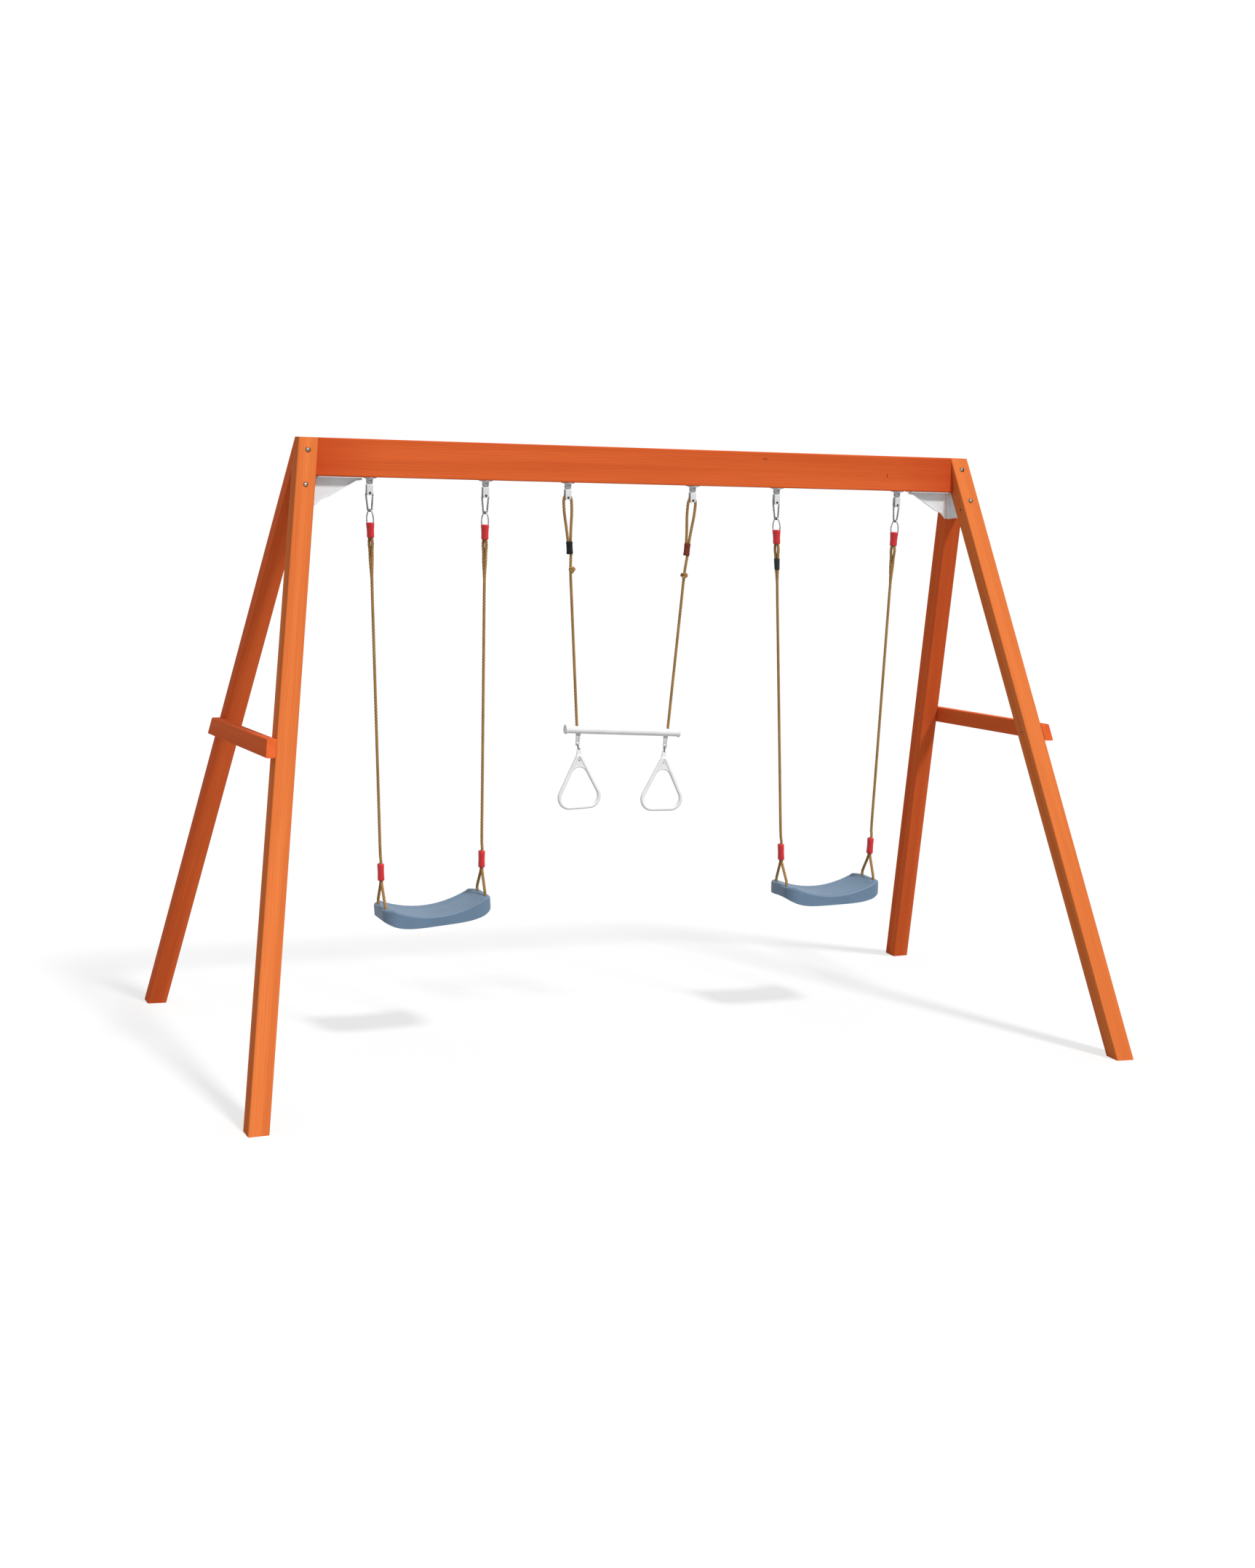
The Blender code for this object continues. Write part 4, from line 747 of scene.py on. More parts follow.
STRAP_PLASTIC = MouldedPlastic(
    "grey_strap_plastic", "white_plastic", tint=colour(204, 206, 206), gloss=0.38, depth=0.00012
)
DARK_TAPE = MouldedPlastic(
    "dark_wound_tape", "tan_rope", tint=colour(48, 56, 58), gloss=0.55, skin=900.0, shine=0.15
)
BLACK_SLEEVE = MouldedPlastic(
    "black_sleeve_plastic", "tan_rope", tint=colour(30, 33, 33), gloss=0.50, skin=900.0, shine=0.12
)
RUST_SLEEVE = MouldedPlastic(
    "rust_sleeve_plastic", "tan_rope", tint=colour(116, 50, 32), gloss=0.50, skin=900.0, shine=0.15
)
ROPE = LaidRope("tan_laid_rope", "tan_rope", light=colour(204, 160, 94), dark=colour(140, 100, 52))


# Pieces and sub-assemblies


@dataclass(frozen=True)
class Piece:
    """A finished piece with its body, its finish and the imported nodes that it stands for."""

    thing: Thing
    body: str
    finish: Finish
    nodes: tuple[str, ...] = ()

    def dress(self) -> None:
        """Gives the piece its material and body, and hides the nodes that it stands for."""
        self.thing.data.materials.clear()
        self.thing.data.materials.append(self.finish.material())
        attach(self.thing, self.body)
        if self.nodes:
            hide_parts(*self.nodes)


@dataclass
class Pattern:
    """A form that repeats: modelled once about the origin, then copied into each place."""

    form: Callable[[], Thing]
    master: Thing | None = None

    def at(self, name: str, place: Matrix) -> Thing:
        """A copy of the form, under that name and in that place."""
        if self.master is None:
            self.master = self.form()
        return copied(self.master, name, place)

    def clear(self) -> None:
        """Takes the master away, once its copies are made."""
        if self.master is not None:
            bpy.data.objects.remove(self.master, do_unlink=True)
            self.master = None


@dataclass(kw_only=True)
class SubAssembly:
    """Part of the swing set that is built and dressed as one."""

    pieces: list[Piece] = field(default_factory=list, init=False)
    patterns: list[Pattern] = field(default_factory=list, init=False)

    def keep(self, thing: Thing, body: str, finish: Finish, *nodes: str) -> Thing:
        """Keeps a finished piece with its body and finish, and hands it back."""
        self.pieces.append(Piece(thing, body, finish, nodes))
        return thing

    def pattern(self, form: Callable[[], Thing]) -> Pattern:
        """A form that repeats in this sub-assembly."""
        self.patterns.append(Pattern(form))
        return self.patterns[-1]

    def build(self) -> None:
        """Models the pieces."""
        raise NotImplementedError

    def dress(self) -> None:
        """Takes the patterns' masters away, and dresses every piece."""
        for pattern in self.patterns:
            pattern.clear()
        for piece in self.pieces:
            piece.dress()


def oval_form(
    name: str, steps: Sequence[tuple[float, float, float]], place: Matrix | None = None, angle: float = 50.0
) -> Thing:
    """An oval form along Z: a filled circle, extruded and resized from each step to the next.

    Args:
        name: of the piece.
        steps: (height, half size in X, half size in Y) from its first end to its last.
        place: where the form goes.
        angle: edges sharper than this stay sharp, in degrees.

    Returns:
        The piece.
    """
    level, half_x, half_y = steps[0]
    bpy.ops.mesh.primitive_circle_add(vertices=32, radius=1, fill_type="NGON", location=(0, 0, level))
    piece = new_piece(name)
    bpy.ops.object.transform_apply(location=True)
    with editing(piece, every=True):
        bpy.ops.transform.resize(value=(half_x, half_y, 1), center_override=(0, 0, 0))
        for (low, wide, deep), (high, wider, deeper) in zip(steps, steps[1:]):
            bpy.ops.mesh.extrude_region_move(TRANSFORM_OT_translate={"value": (0, 0, high - low)})
            bpy.ops.transform.resize(value=(wider / wide, deeper / deep, 1), center_override=(0, 0, high))
    outwards(piece)
    return settled(piece, place, angle)


def sleeve_form(name: str, height: float, half: Pair, end: Sequence[Pair]) -> Thing:
    """An oval sleeve about its own middle, alike at both ends.

    Args:
        name: of the piece.
        height: from end to end.
        half: its half sizes in X and Y.
        end: (share of the half sizes, share of the half height) from one end towards the middle.

    Returns:
        The piece.
    """
    return oval_form(name, [(share * height / 2, grow * half[0], grow * half[1]) for grow, share in mirrored(end)])


def cut_out(piece: Thing, tool: Thing) -> None:
    """Cuts the form of a tool out of a piece, and takes the tool away."""
    cut = piece.modifiers.new("cut", "BOOLEAN")
    cut.operation, cut.solver, cut.object = "DIFFERENCE", "EXACT", tool
    apply_all(piece)
    bpy.data.objects.remove(tool, do_unlink=True)


def drilled(piece: Thing, start: Vector, end: Vector, radius: float) -> None:
    """Drills a round hole through a piece.

    Args:
        piece: the mesh object.
        start: a point on the hole's axis, in front of the piece.
        end: a point on the axis, behind or inside it.
        radius: of the hole.
    """
    run = end - start
    turn = run.to_track_quat("Z", "Y").to_euler()
    bpy.ops.mesh.primitive_cylinder_add(
        vertices=24, radius=radius, depth=run.length, location=(start + end) / 2, rotation=turn
    )
    cut_out(piece, new_piece(piece.name + "_drill"))


# Rope


def smooth_line(points: Sequence[Sequence[float]], step: float = 0.003) -> np.ndarray:
    """Evenly spaced points on a smooth curve through the points given.

    Args:
        points: of the rope's route.
        step: between two points of the result.

    Returns:
        An array of points, one to a row.
    """
    route = np.array([tuple(point) for point in points], float)
    padded = np.vstack([2 * route[0] - route[1], route, 2 * route[-1] - route[-2]])
    line = []
    for before, start, end, after in zip(padded, padded[1:], padded[2:], padded[3:]):
        out, into = (end - before) / 2, (after - start) / 2
        for t in np.linspace(0, 1, 40, endpoint=False):
            line.append(start + (end - start) * eased(t) + out * t * (1 - t) ** 2 - into * t * t * (1 - t))
    line = np.array([*line, route[-1]])
    run = np.concatenate([[0], np.cumsum(np.linalg.norm(np.diff(line, axis=0), axis=1))])
    even = np.linspace(0, run[-1], max(2, round(run[-1] / step)) + 1)
    return np.stack([np.interp(even, run, line[:, axis]) for axis in range(3)], axis=1)


def laid_rope(
    name: str,
    line: np.ndarray,
    halves: np.ndarray,
    strands: int = 3,
    lay: float = 0.034,
    groove: float = 0.20,
    across: Sequence[float] = (1.0, 0.0, 0.0),
) -> Thing:
    """A rope of twisted strands swept along a line.

    Args:
        name: of the piece.
        line: its centre line, evenly spaced.
        halves: the half sizes of its section, one pair or a pair for each point of the line.
        strands: that show round it.
        lay: length in which a strand goes round once.
        groove: depth between strands, as a share of the half size.
        across: the direction of the section's first half size at the line's start.

    Returns:
        The piece, with a UV map in centimetres round and along it, and a "groove" attribute.
    """
    per_strand = 8
    sides = strands * per_strand
    halves = np.broadcast_to(np.array(halves, float), (len(line), 2))
    ahead = np.gradient(line, axis=0)
    ahead /= np.linalg.norm(ahead, axis=1)[:, None]
    run = np.concatenate([[0], np.cumsum(np.linalg.norm(np.diff(line, axis=0), axis=1))])
    first = np.array(across, float)
    side = np.arange(sides) / per_strand
    depth = np.abs((side + 0.5) % 1 - 0.5) * 2
    depth = depth**2.4
    rings = []
    for point, forward, (a, b), along in zip(line, ahead, halves, run):
        first = first - forward * first.dot(forward)
        first /= np.linalg.norm(first)
        second = np.cross(forward, first)
        angle = 2 * math.pi * (np.arange(sides) / sides + along / lay)
        reach = 1 - groove * depth
        rings.append(point + np.outer(np.cos(angle) * a * reach, first) + np.outer(np.sin(angle) * b * reach, second))
    points = np.concatenate([*rings, line[:1], line[-1:]])
    faces, corners = [], []
    for ring in range(len(line) - 1):
        for k in range(sides):
            here, there = ring * sides, (ring + 1) * sides
            faces.append((here + k, here + (k + 1) % sides, there + (k + 1) % sides, there + k))
            corners.append(((k, ring), (k + 1, ring), (k + 1, ring + 1), (k, ring + 1)))
    last = (len(line) - 1) * sides
    for k in range(sides):
        faces.append(((k + 1) % sides, k, len(points) - 2))
        corners.append(((k + 1, 0), (k, 0), (k, 0)))
        faces.append((last + k, last + (k + 1) % sides, len(points) - 1))
        corners.append(((k, len(line) - 1), (k + 1, len(line) - 1), (k, len(line) - 1)))
    mesh = bpy.data.meshes.new(name)
    mesh.from_pydata(points.tolist(), [], faces)
    girth = 100 * 2 * math.pi * float(halves.mean())
    uv = mesh.uv_layers.new(name="along_rope")
    flat = [(girth * k / sides, 100 * run[ring]) for face in corners for k, ring in face]
    uv.data.foreach_set("uv", np.array(flat, float).ravel())
    dark = mesh.attributes.new("groove", "FLOAT", "POINT")
    dark.data.foreach_set("value", np.concatenate([np.tile(depth, len(line)), [0.5, 0.5]]))
    mesh.validate()
    piece = linked(bpy.data.objects.new(name, mesh))
    outwards(piece)
    bpy.ops.object.shade_smooth_by_angle(angle=math.radians(50))
    return piece


def moved(line: np.ndarray, place: Matrix) -> np.ndarray:
    """A line of points in another frame."""
    turn, shift = np.array(place.to_3x3()), np.array(place.to_translation())
    return line @ turn.T + shift


# What hangs, and where

HINGE_LEVEL = 2.0525  # of the hangers' axles
UNDERSIDE = 2.068  # of the beam
PIN_DROP = 0.0395  # of a clevis pin below its axle
GAP = 0.0003  # between neighbours that move apart
ROPE_DIAMETER = 0.010
ROPE_RADIUS = ROPE_DIAMETER / 2
SHOWN_RADIUS = 0.0056  # over the crowns of the strands
SHOWN_HALVES = (SHOWN_RADIUS, SHOWN_RADIUS)
PIN_RADIUS = 0.0035
EYE_TURN = -55.0  # of the eye rings, the sleeves and the eyes, about the rope's line
HOLE_SPREAD = 0.090  # from a seat's front holes to its back holes
BAR_RADIUS = 0.015
STRAP_SPACING = 0.354
STRAP_DROP = 0.0575  # of a strap's round foot below the middle of the bar
ROWS = (("front", -1), ("rear", 1))  # of legs


@dataclass(frozen=True)
class RopeLine:
    """The straight line that a rope hangs in: the clevis pin at its top, and -Z along it."""

    pin: Matrix
    distance: float


@dataclass(frozen=True)
class Hanging:
    """A set on two hangers: its body, the hangers' places along the beam, and the place of its foot."""

    body: str
    hangers: Pair
    centre: float
    level: float
    tilt: float
    spacing: float

    def foot(self) -> Matrix:
        """The frame of the seat or bar."""
        return Matrix.Translation((self.centre, 0, self.level)) @ rotation(-self.tilt, "Y")

    def hanger(self, side: Side) -> float:
        """One hanger's place along the beam."""
        return self.hangers[0 if side is Side.LEFT else 1]

    def line(self, side: Side) -> RopeLine:
        """The line from one clevis pin to its end of the seat or bar."""
        top = Vector((self.hanger(side), 0, HINGE_LEVEL - PIN_DROP))
        foot = self.foot() @ Vector((side.value * self.spacing / 2, 0, 0))
        lean = math.atan2(top.x - foot.x, top.z - foot.z)
        return RopeLine(Matrix.Translation(top) @ Matrix.Rotation(lean, 4, "Y"), (foot - top).length)


LEFT_SWING = Hanging("left_swing", (-1.0640, -0.6350), centre=-0.800, level=0.544, tilt=5.0, spacing=0.380)
RIGHT_SWING = Hanging("right_swing", (0.5230, 1.0400), centre=0.812, level=0.544, tilt=1.5, spacing=0.380)
TRAPEZE = Hanging("trapeze", (-0.3200, 0.1760), centre=-0.0705, level=1.1525, tilt=-2.6, spacing=0.366)


@dataclass(kw_only=True)
class Hangers(SubAssembly):
    """The six hangers: a dished base with two cheeks under the beam, and a clevis that turns between them."""

    base_radius: float = 0.0255
    base_rim: float = 0.0025
    base_dish: float = 0.009
    axle_drop: float = 0.0155
    axle_radius: float = 0.003
    cheek_spacing: float = 0.0125
    cheek_thickness: float = 0.0042
    cheek_radius: float = 0.0078
    barrel_radius: float = 0.0058
    clevis_width: float = 0.022
    clevis_throat: float = 0.014
    clevis_plate: float = 0.0035
    clevis_crown: float = 0.0085

    def base_form(self) -> Thing:
        """The dished disc with its two cheeks, its top at Z = 0."""
        rim, dish, edge = self.base_radius, self.base_dish, self.base_rim
        profile = [(0, -GAP), (rim - 0.0008, -GAP), (rim, -GAP - 0.0006)]
        profile += [(rim, -edge + 0.0004), (rim - 0.0009, -edge - 0.0004)]
        for share in (0.25, 0.5, 0.75, 1.0):
            turn = share * math.pi / 2
            radius = rim - 0.0012 - (rim - 0.0012 - 0.0128) * math.sin(turn)
            profile.append((radius, -edge - 0.0006 - (dish - edge - 0.0006) * (1 - math.cos(turn))))
        profile += [(0.0118, -dish), (0, -dish)]
        parts = [turned("base", profile, 40)]
        outline = [(-self.cheek_radius, -dish + 0.002), (-self.cheek_radius, -self.axle_drop)]
        outline += arc((0, -self.axle_drop), self.cheek_radius, 180, 360, 14)[1:-1]
        outline += [(self.cheek_radius, -self.axle_drop), (self.cheek_radius, -dish + 0.002)]
        for hand in (-1, 1):
            x = hand * (self.cheek_spacing + self.cheek_thickness) / 2
            place = Matrix.Translation((x, 0, 0)) @ rotation(90, "Z")
            parts.append(plate("cheek", outline, self.cheek_thickness, 0.0006, place))
        return joined("hanger_base_form", parts)

    def axle_form(self) -> Thing:
        """The hinge axle's riveted ends, its axis at Z = 0 along X."""
        reach, radius = self.cheek_spacing / 2 + self.cheek_thickness + 0.0012, self.axle_radius
        profile = mirrored([(0, reach), (radius * 0.55, reach), (radius, reach - 0.0007)])
        return turned("axle_form", profile, 24, rotation(90, "Y"))

    def clevis_form(self) -> Thing:
        """The barrel and the bent saddle, with the hinge axis at Z = 0 along X."""
        half, radius = self.cheek_spacing / 2 - GAP, self.barrel_radius
        profile = mirrored([(0, half), (radius - 0.0005, half), (radius, half - 0.0005)])
        parts = [turned("barrel", profile, 28, rotation(90, "Y"))]
        neck = [(-0.0045, -0.003), (0.0045, -0.003), (0.0045, -self.clevis_crown - 0.001)]
        neck += [(-0.0045, -self.clevis_crown - 0.001)]
        parts.append(plate("neck", neck, 2 * half - 0.0012, 0.0004, rotation(90, "Z")))
        parts.append(self.saddle_form())
        return joined("clevis_form", parts)

    def saddle_form(self) -> Thing:
        """The clevis's bent plate: an upside-down U whose two legs end in round corners."""
        outer = self.clevis_throat / 2 + self.clevis_plate
        inner = self.clevis_throat / 2
        foot, crown, bend = -PIN_DROP - 0.008, -self.clevis_crown, 0.0042
        outline = [(-outer, foot), (-outer, crown - bend), *arc((-outer + bend, crown - bend), bend, 180, 90, 6)[1:]]
        outline += [*arc((outer - bend, crown - bend), bend, 90, 0, 6), (outer, foot), (inner, foot)]
        low, small = crown - self.clevis_plate, bend - self.clevis_plate
        outline += arc((inner - small, low - small), small, 0, 90, 2)
        outline += [*arc((small - inner, low - small), small, 90, 180, 2), (-inner, foot)]
        saddle = plate("saddle", outline, self.clevis_width)
        width = self.clevis_width / 2

        def at_corner(one: Vector, other: Vector) -> bool:
            """Whether an edge between two points crosses the plate at a corner of a leg's foot."""
            low = all(co.z < foot + NEAR and abs(abs(co.y) - width) < NEAR for co in (one, other))
            return low and abs(one.y - other.y) < NEAR

        with editing(saddle):
            pick(saddle, "edges", lambda edge: at_corner(*[vertex.co for vertex in edge.verts]))
            bpy.ops.mesh.bevel(offset=0.0078, segments=7, affect="EDGES")
        outwards(saddle)
        bevelled(saddle, 0.0005, angle=50)
        return settled(saddle, rotation(90, "Z"))

    def pin_form(self) -> Thing:
        """The clevis pin with a domed head at both ends, along Y."""
        reach = self.clevis_throat / 2 + self.clevis_plate
        head, radius = PIN_RADIUS + 0.0013, PIN_RADIUS
        end = [(0, 0.0021), (head * 0.5, 0.0019), (head * 0.85, 0.0012)]
        end += [(head, 0.0003), (head, -0.0002), (radius, -0.0002)]
        return turned("pin_form", mirrored([(r, reach + z) for r, z in end]), 28, rotation(-90, "X"))

    def build(self) -> None:
        """One of each form, copied to the six hangers."""
        base, axle = self.pattern(self.base_form), self.pattern(self.axle_form)
        clevis, pin = self.pattern(self.clevis_form), self.pattern(self.pin_form)
        for hanging in (LEFT_SWING, RIGHT_SWING, TRAPEZE):
            for side in Side:
                prefix = f"{hanging.body}_{side.word}"
                x = hanging.hanger(side)
                under, hinge = Matrix.Translation((x, 0, UNDERSIDE)), Matrix.Translation((x, 0, HINGE_LEVEL))
                self.keep(base.at(prefix + "_base", under), "stand", SHADED_HANGER_PAINT, prefix + "_hanger_base")
                self.keep(axle.at(prefix + "_axle", hinge), "stand", DARK_STEEL)
                self.keep(clevis.at(prefix + "_saddle", hinge), hanging.body, CLEVIS_PAINT, prefix + "_clevis")
                drop = hinge @ Matrix.Translation((0, 0, -PIN_DROP))
                self.keep(pin.at(prefix + "_pin", drop), hanging.body, DARK_STEEL)


@dataclass(kw_only=True)
class HookAndRing(SubAssembly):
    """The four snap hooks with their gates, and the eye rings in the red sleeves below them."""

    wire_radius: float = 0.0032
    length: float = 0.0705
    top_radius: float = 0.0132
    foot_radius: float = 0.0081
    turn: float = 12.0
    gate_start: float = 0.10
    gate_length: float = 0.036
    rivet_radius: float = 0.0013
    ring_radius: float = 0.0025
    ring_half_width: float = 0.0150
    ring_half_height: float = 0.030
    ring_middle: float = -0.0873

    def outline(self) -> tuple[list[Vector], Vector, Vector, Vector]:
        """The hook's centre line in its own plane, its gate's tip and pivot, and the direction of the gate."""
        top_level = PIN_RADIUS + GAP + self.wire_radius - self.top_radius
        span = self.length - self.top_radius - self.foot_radius
        slope = math.degrees(math.asin((self.top_radius - self.foot_radius) / span))
        top = arc((0, top_level), self.top_radius, -slope, 180 + slope, 18)
        foot = arc((0, top_level - span), self.foot_radius, 180 + slope, 360 - slope, 16)
        start, end = Vector((top[0][0], 0, top[0][1])), Vector((foot[-1][0], 0, foot[-1][1]))
        down = (end - start).normalized()
        tip = start + down * self.gate_start * (end - start).length
        pivot = tip + down * self.gate_length
        line = [tip, tip - down * 0.0015, *[Vector((a, 0, b)) for a, b in (*top, *foot)], pivot + down * 0.0060]
        return [*line, pivot + down * 0.0046], tip, pivot, down

    def hook_form(self) -> Thing:
        """The bent wire, with the flattened end that the gate turns on, and its rivet."""
        line, _, pivot, down = self.outline()
        last = len(line) - 1
        parts = [wire("hook", [tuple(p) for p in line], self.wire_radius, tapers={0: 0.80, last: 0.72})]
        side = Vector((-down.z, 0, down.x)) * 0.0025
        end = pivot + down * 0.0066
        tongue = [end + side, end - side, pivot - side, pivot - down * 0.0024, pivot + side]
        parts.append(plate("tongue", [(p.x, p.z) for p in tongue], 0.0022, 0.0003))
        reach, radius = self.wire_radius + 0.0005, self.rivet_radius
        profile = mirrored([(0, reach), (radius, reach - 0.0005)])
        place = Matrix.Translation(pivot) @ rotation(90, "X")
        parts.append(turned("rivet", profile, 16, place))
        return joined("snap_hook_form", parts)

    def gate_form(self) -> Thing:
        """The gate's straight wire, split over the tongue, with a notched nose."""
        _, tip, pivot, down = self.outline()
        start, end = tip + down * 0.0006, pivot + down * 0.0032
        line = [start + down * run for run in (0.0, 0.0008, 0.0040, 0.0046, 0.0054)]
        line += [end - down * 0.0012, end]
        return wire("gate_form", [tuple(p) for p in line], self.wire_radius, tapers={0: 0.78, 3: 0.80, 6: 0.75})

    def ring_form(self) -> Thing:
        """The eye ring about its own middle, in the XZ plane, wider towards its foot."""
        points = []
        for angle in np.linspace(0, 2 * math.pi, 48, endpoint=False):
            swell = 1 - 0.22 * math.cos(angle)
            points.append((self.ring_half_width * swell * math.sin(angle), 0, self.ring_half_height * math.cos(angle)))
        return wire("eye_ring_form", points, self.ring_radius, closed=True)

    def build(self) -> None:
        """One of each form, copied to the four ropes of the swings."""
        hook, gate, ring = self.pattern(self.hook_form), self.pattern(self.gate_form), self.pattern(self.ring_form)
        for hanging in (LEFT_SWING, RIGHT_SWING):
            for side in Side:
                prefix = f"{hanging.body}_{side.word}"
                pin = hanging.line(side).pin
                turned_pin = pin @ rotation(self.turn, "Z")
                self.keep(hook.at(prefix + "_hook", turned_pin), hanging.body, ZINC, prefix + "_snap_hook")
                self.keep(gate.at(prefix + "_gate_wire", turned_pin), prefix + "_gate", ZINC, prefix + "_gate")
                middle = pin @ Matrix.Translation((0, 0, self.ring_middle))
                middle = middle @ rotation(EYE_TURN, "Z")
                self.keep(ring.at(prefix + "_ring", middle), hanging.body, RING_ZINC, prefix + "_eye_ring")


@dataclass(kw_only=True)
class SwingRopes(SubAssembly):
    """The two ropes of a swing, each from its eye in the top sleeve, round under the seat and back up."""

    hanging: Hanging
    taped: tuple[Side, ...] = ()
    sleeve_foot: float = -0.156283
    sleeve_height: float = 0.053
    sleeve_top_half: Pair = (0.0168, 0.0112)
    sleeve_foot_half: Pair = (0.0145, 0.0100)
    eye_spread: float = 0.0075
    socket: float = 0.016
    tail_length: float = 0.110
    splice_levels: tuple[float, float, float] = (0.066, 0.100, 0.150)
    lower_rise: float = 0.127
    lower_height: float = 0.062
    lower_half: Pair = (0.0120, 0.0156)

    def eye_part(self, beside: Vector) -> list[Vector]:
        """One part of the doubled rope, from its socket in the top sleeve round its half of the eye."""
        spread = beside.normalized() * self.eye_spread
        places = ((beside, self.socket), (beside, 0.002), (spread, -0.020), (beside, -0.046), (beside * 0.9, -0.075))
        return [place + Vector((0, 0, self.sleeve_foot + rise)) for place, rise in places]

    def strand_side(self, end: int) -> Vector:
        """Where one part of the doubled rope lies beside the rope's line."""
        reach, turn = end * (ROPE_RADIUS + GAP), math.radians(EYE_TURN)
        return Vector((reach * math.cos(turn), reach * math.sin(turn), 0))

    def main_route(self, side: Side) -> list[Vector]:
        """The route of one rope, in the frame of its line."""
        line = self.hanging.line(side)
        hole, apart = HOLE_SPREAD / 2, ROPE_RADIUS + 0.0004
        across = side.value * self.hanging.spacing / 2

        def seat_point(y: float, z: float) -> Vector:
            """A point in the seat's frame, seen from the rope's line."""
            return line.pin.inverted() @ (self.hanging.foot() @ Vector((across, y, z)))

        def strand(y: float, rise: float) -> Vector:
            """A point beside the rope's line, that high above the seat."""
            return Vector((0, y, rise - line.distance))

        middle = self.lower_rise
        top, foot = middle + self.lower_height / 2, middle - self.lower_height / 2
        first, start = self.strand_side(1), self.sleeve_foot
        route = [*self.eye_part(first), first * 0.3 + Vector((0, 0, start - 0.120))]
        route += [Vector((0, 0, z)) for z in np.linspace(start - 0.170, top + 0.050 - line.distance, 6)]
        route += [strand(-apart * 0.96, top + 0.012), strand(-apart, middle), strand(-apart, foot - 0.002)]
        route += [strand(-apart - 0.006, foot - 0.020), seat_point(-hole + 0.004, 0.022), seat_point(-hole, 0.004)]
        under = [(-hole, -0.011), (-hole + 0.0059, -0.0251), (-hole + 0.020, -0.0310)]
        route += [seat_point(y, z) for y, z in under] + [seat_point(0, -0.0315)]
        route += [seat_point(-y, z) for y, z in reversed(under)] + [seat_point(hole, 0.004)]
        route += [seat_point(hole - 0.004, 0.022), strand(apart + 0.006, foot - 0.020), strand(apart, foot - 0.002)]
        return [*route, strand(apart, middle), strand(apart, top - 0.010)]

    def tail_route(self) -> list[Vector]:
        """The route of the short part, from the top sleeve into the splice."""
        second = self.strand_side(-1)
        return [*self.eye_part(second), second * 0.5 + Vector((0, 0, self.sleeve_foot - self.tail_length))]

    def splice(self, name: str, pin: Matrix) -> Thing:
        """The tapering lump where the short part's strands are tucked into the rope."""
        high, middle, low = (self.sleeve_foot - level for level in self.splice_levels)
        line = smooth_line([(0, 0, high), (0, 0, middle), (0, 0, low)], 0.0025)
        levels = [low, (low + middle) / 2, middle, high - 0.006, high]
        wide = np.interp(line[:, 2], levels, (0.0050, 0.0066, 0.0084, 0.0100, 0.0085))
        deep = np.interp(line[:, 2], levels, (0.0050, 0.0056, 0.0056, 0.0055, 0.0046))
        turn = math.radians(EYE_TURN)
        across = pin.to_3x3() @ Vector((math.cos(turn), math.sin(turn), 0))
        halves = np.stack([wide, deep], axis=1)
        return laid_rope(name, moved(line, pin), halves, strands=5, lay=0.30, groove=0.16, across=across)

    def top_sleeve_form(self) -> Thing:
        """The red sleeve moulded round the ring's foot, a little waisted."""
        grown = [(0, 0.80), (0.018, 0.94), (0.05, 1.0), (0.14, 1.0), (0.35, 0.95)]
        grown += [(0.62, 0.93), (0.86, 0.99), (0.95, 1.0), (0.985, 0.94), (1, 0.80)]
        steps = []
        for share, grow in grown:
            halves = [grow * (a + (b - a) * share) for a, b in zip(self.sleeve_top_half, self.sleeve_foot_half)]
            steps.append((self.sleeve_foot + self.sleeve_height * (1 - share), *halves))
        return oval_form("top_sleeve_form", steps, rotation(EYE_TURN, "Z"))

    def lower_sleeve_form(self) -> Thing:
        """The red sleeve round the doubled rope, about its own middle."""
        end = [(0.82, 1), (0.94, 0.975), (1.0, 0.93), (1.0, 0.6), (0.955, 0.2)]
        return sleeve_form("lower_sleeve_form", self.lower_height, self.lower_half, end)

    def tape_form(self) -> Thing:
        """The dark band wound round both parts where they join, in the frame of the rope's line."""
        steps = []
        for share in np.linspace(0, 1, 12):
            edge = 0.93 if share in (0, 1) else 1.0 + 0.035 * math.sin(9 * share * math.pi)
            steps.append((-0.2113 - 0.0430 * share, edge * (0.0120 - 0.0016 * share), edge * 0.0078))
        return oval_form("tape_form", steps, rotation(EYE_TURN, "Z"))

    def build(self) -> None:
        """Both ropes with their tails, splices and sleeves."""
        top, lower = self.pattern(self.top_sleeve_form), self.pattern(self.lower_sleeve_form)
        tape = self.pattern(self.tape_form)
        for side in Side:
            prefix = f"{self.hanging.body}_{side.word}"
            line, body = self.hanging.line(side), self.hanging.body
            path = moved(smooth_line(self.main_route(side)), line.pin)
            rope = laid_rope(prefix + "_laid_rope", path, SHOWN_HALVES)
            self.keep(rope, body, ROPE, prefix + "_rope")
            tail_path = moved(smooth_line(self.tail_route()), line.pin)
            tail = self.keep(laid_rope(prefix + "_rope_tail", tail_path, SHOWN_HALVES), body, ROPE)
            splice = self.keep(self.splice(prefix + "_splice", line.pin), body, ROPE)
            if side in self.taped:
                self.keep(tape.at(prefix + "_tape", line.pin), body, DARK_TAPE)
            self.keep(top.at(prefix + "_top_grip", line.pin), body, RED_SLEEVE, prefix + "_top_sleeve")
            middle = line.pin @ Matrix.Translation((0, 0, self.lower_rise - line.distance))
            self.keep(lower.at(prefix + "_lower_grip", middle), body, RED_SLEEVE, prefix + "_lower_sleeve")


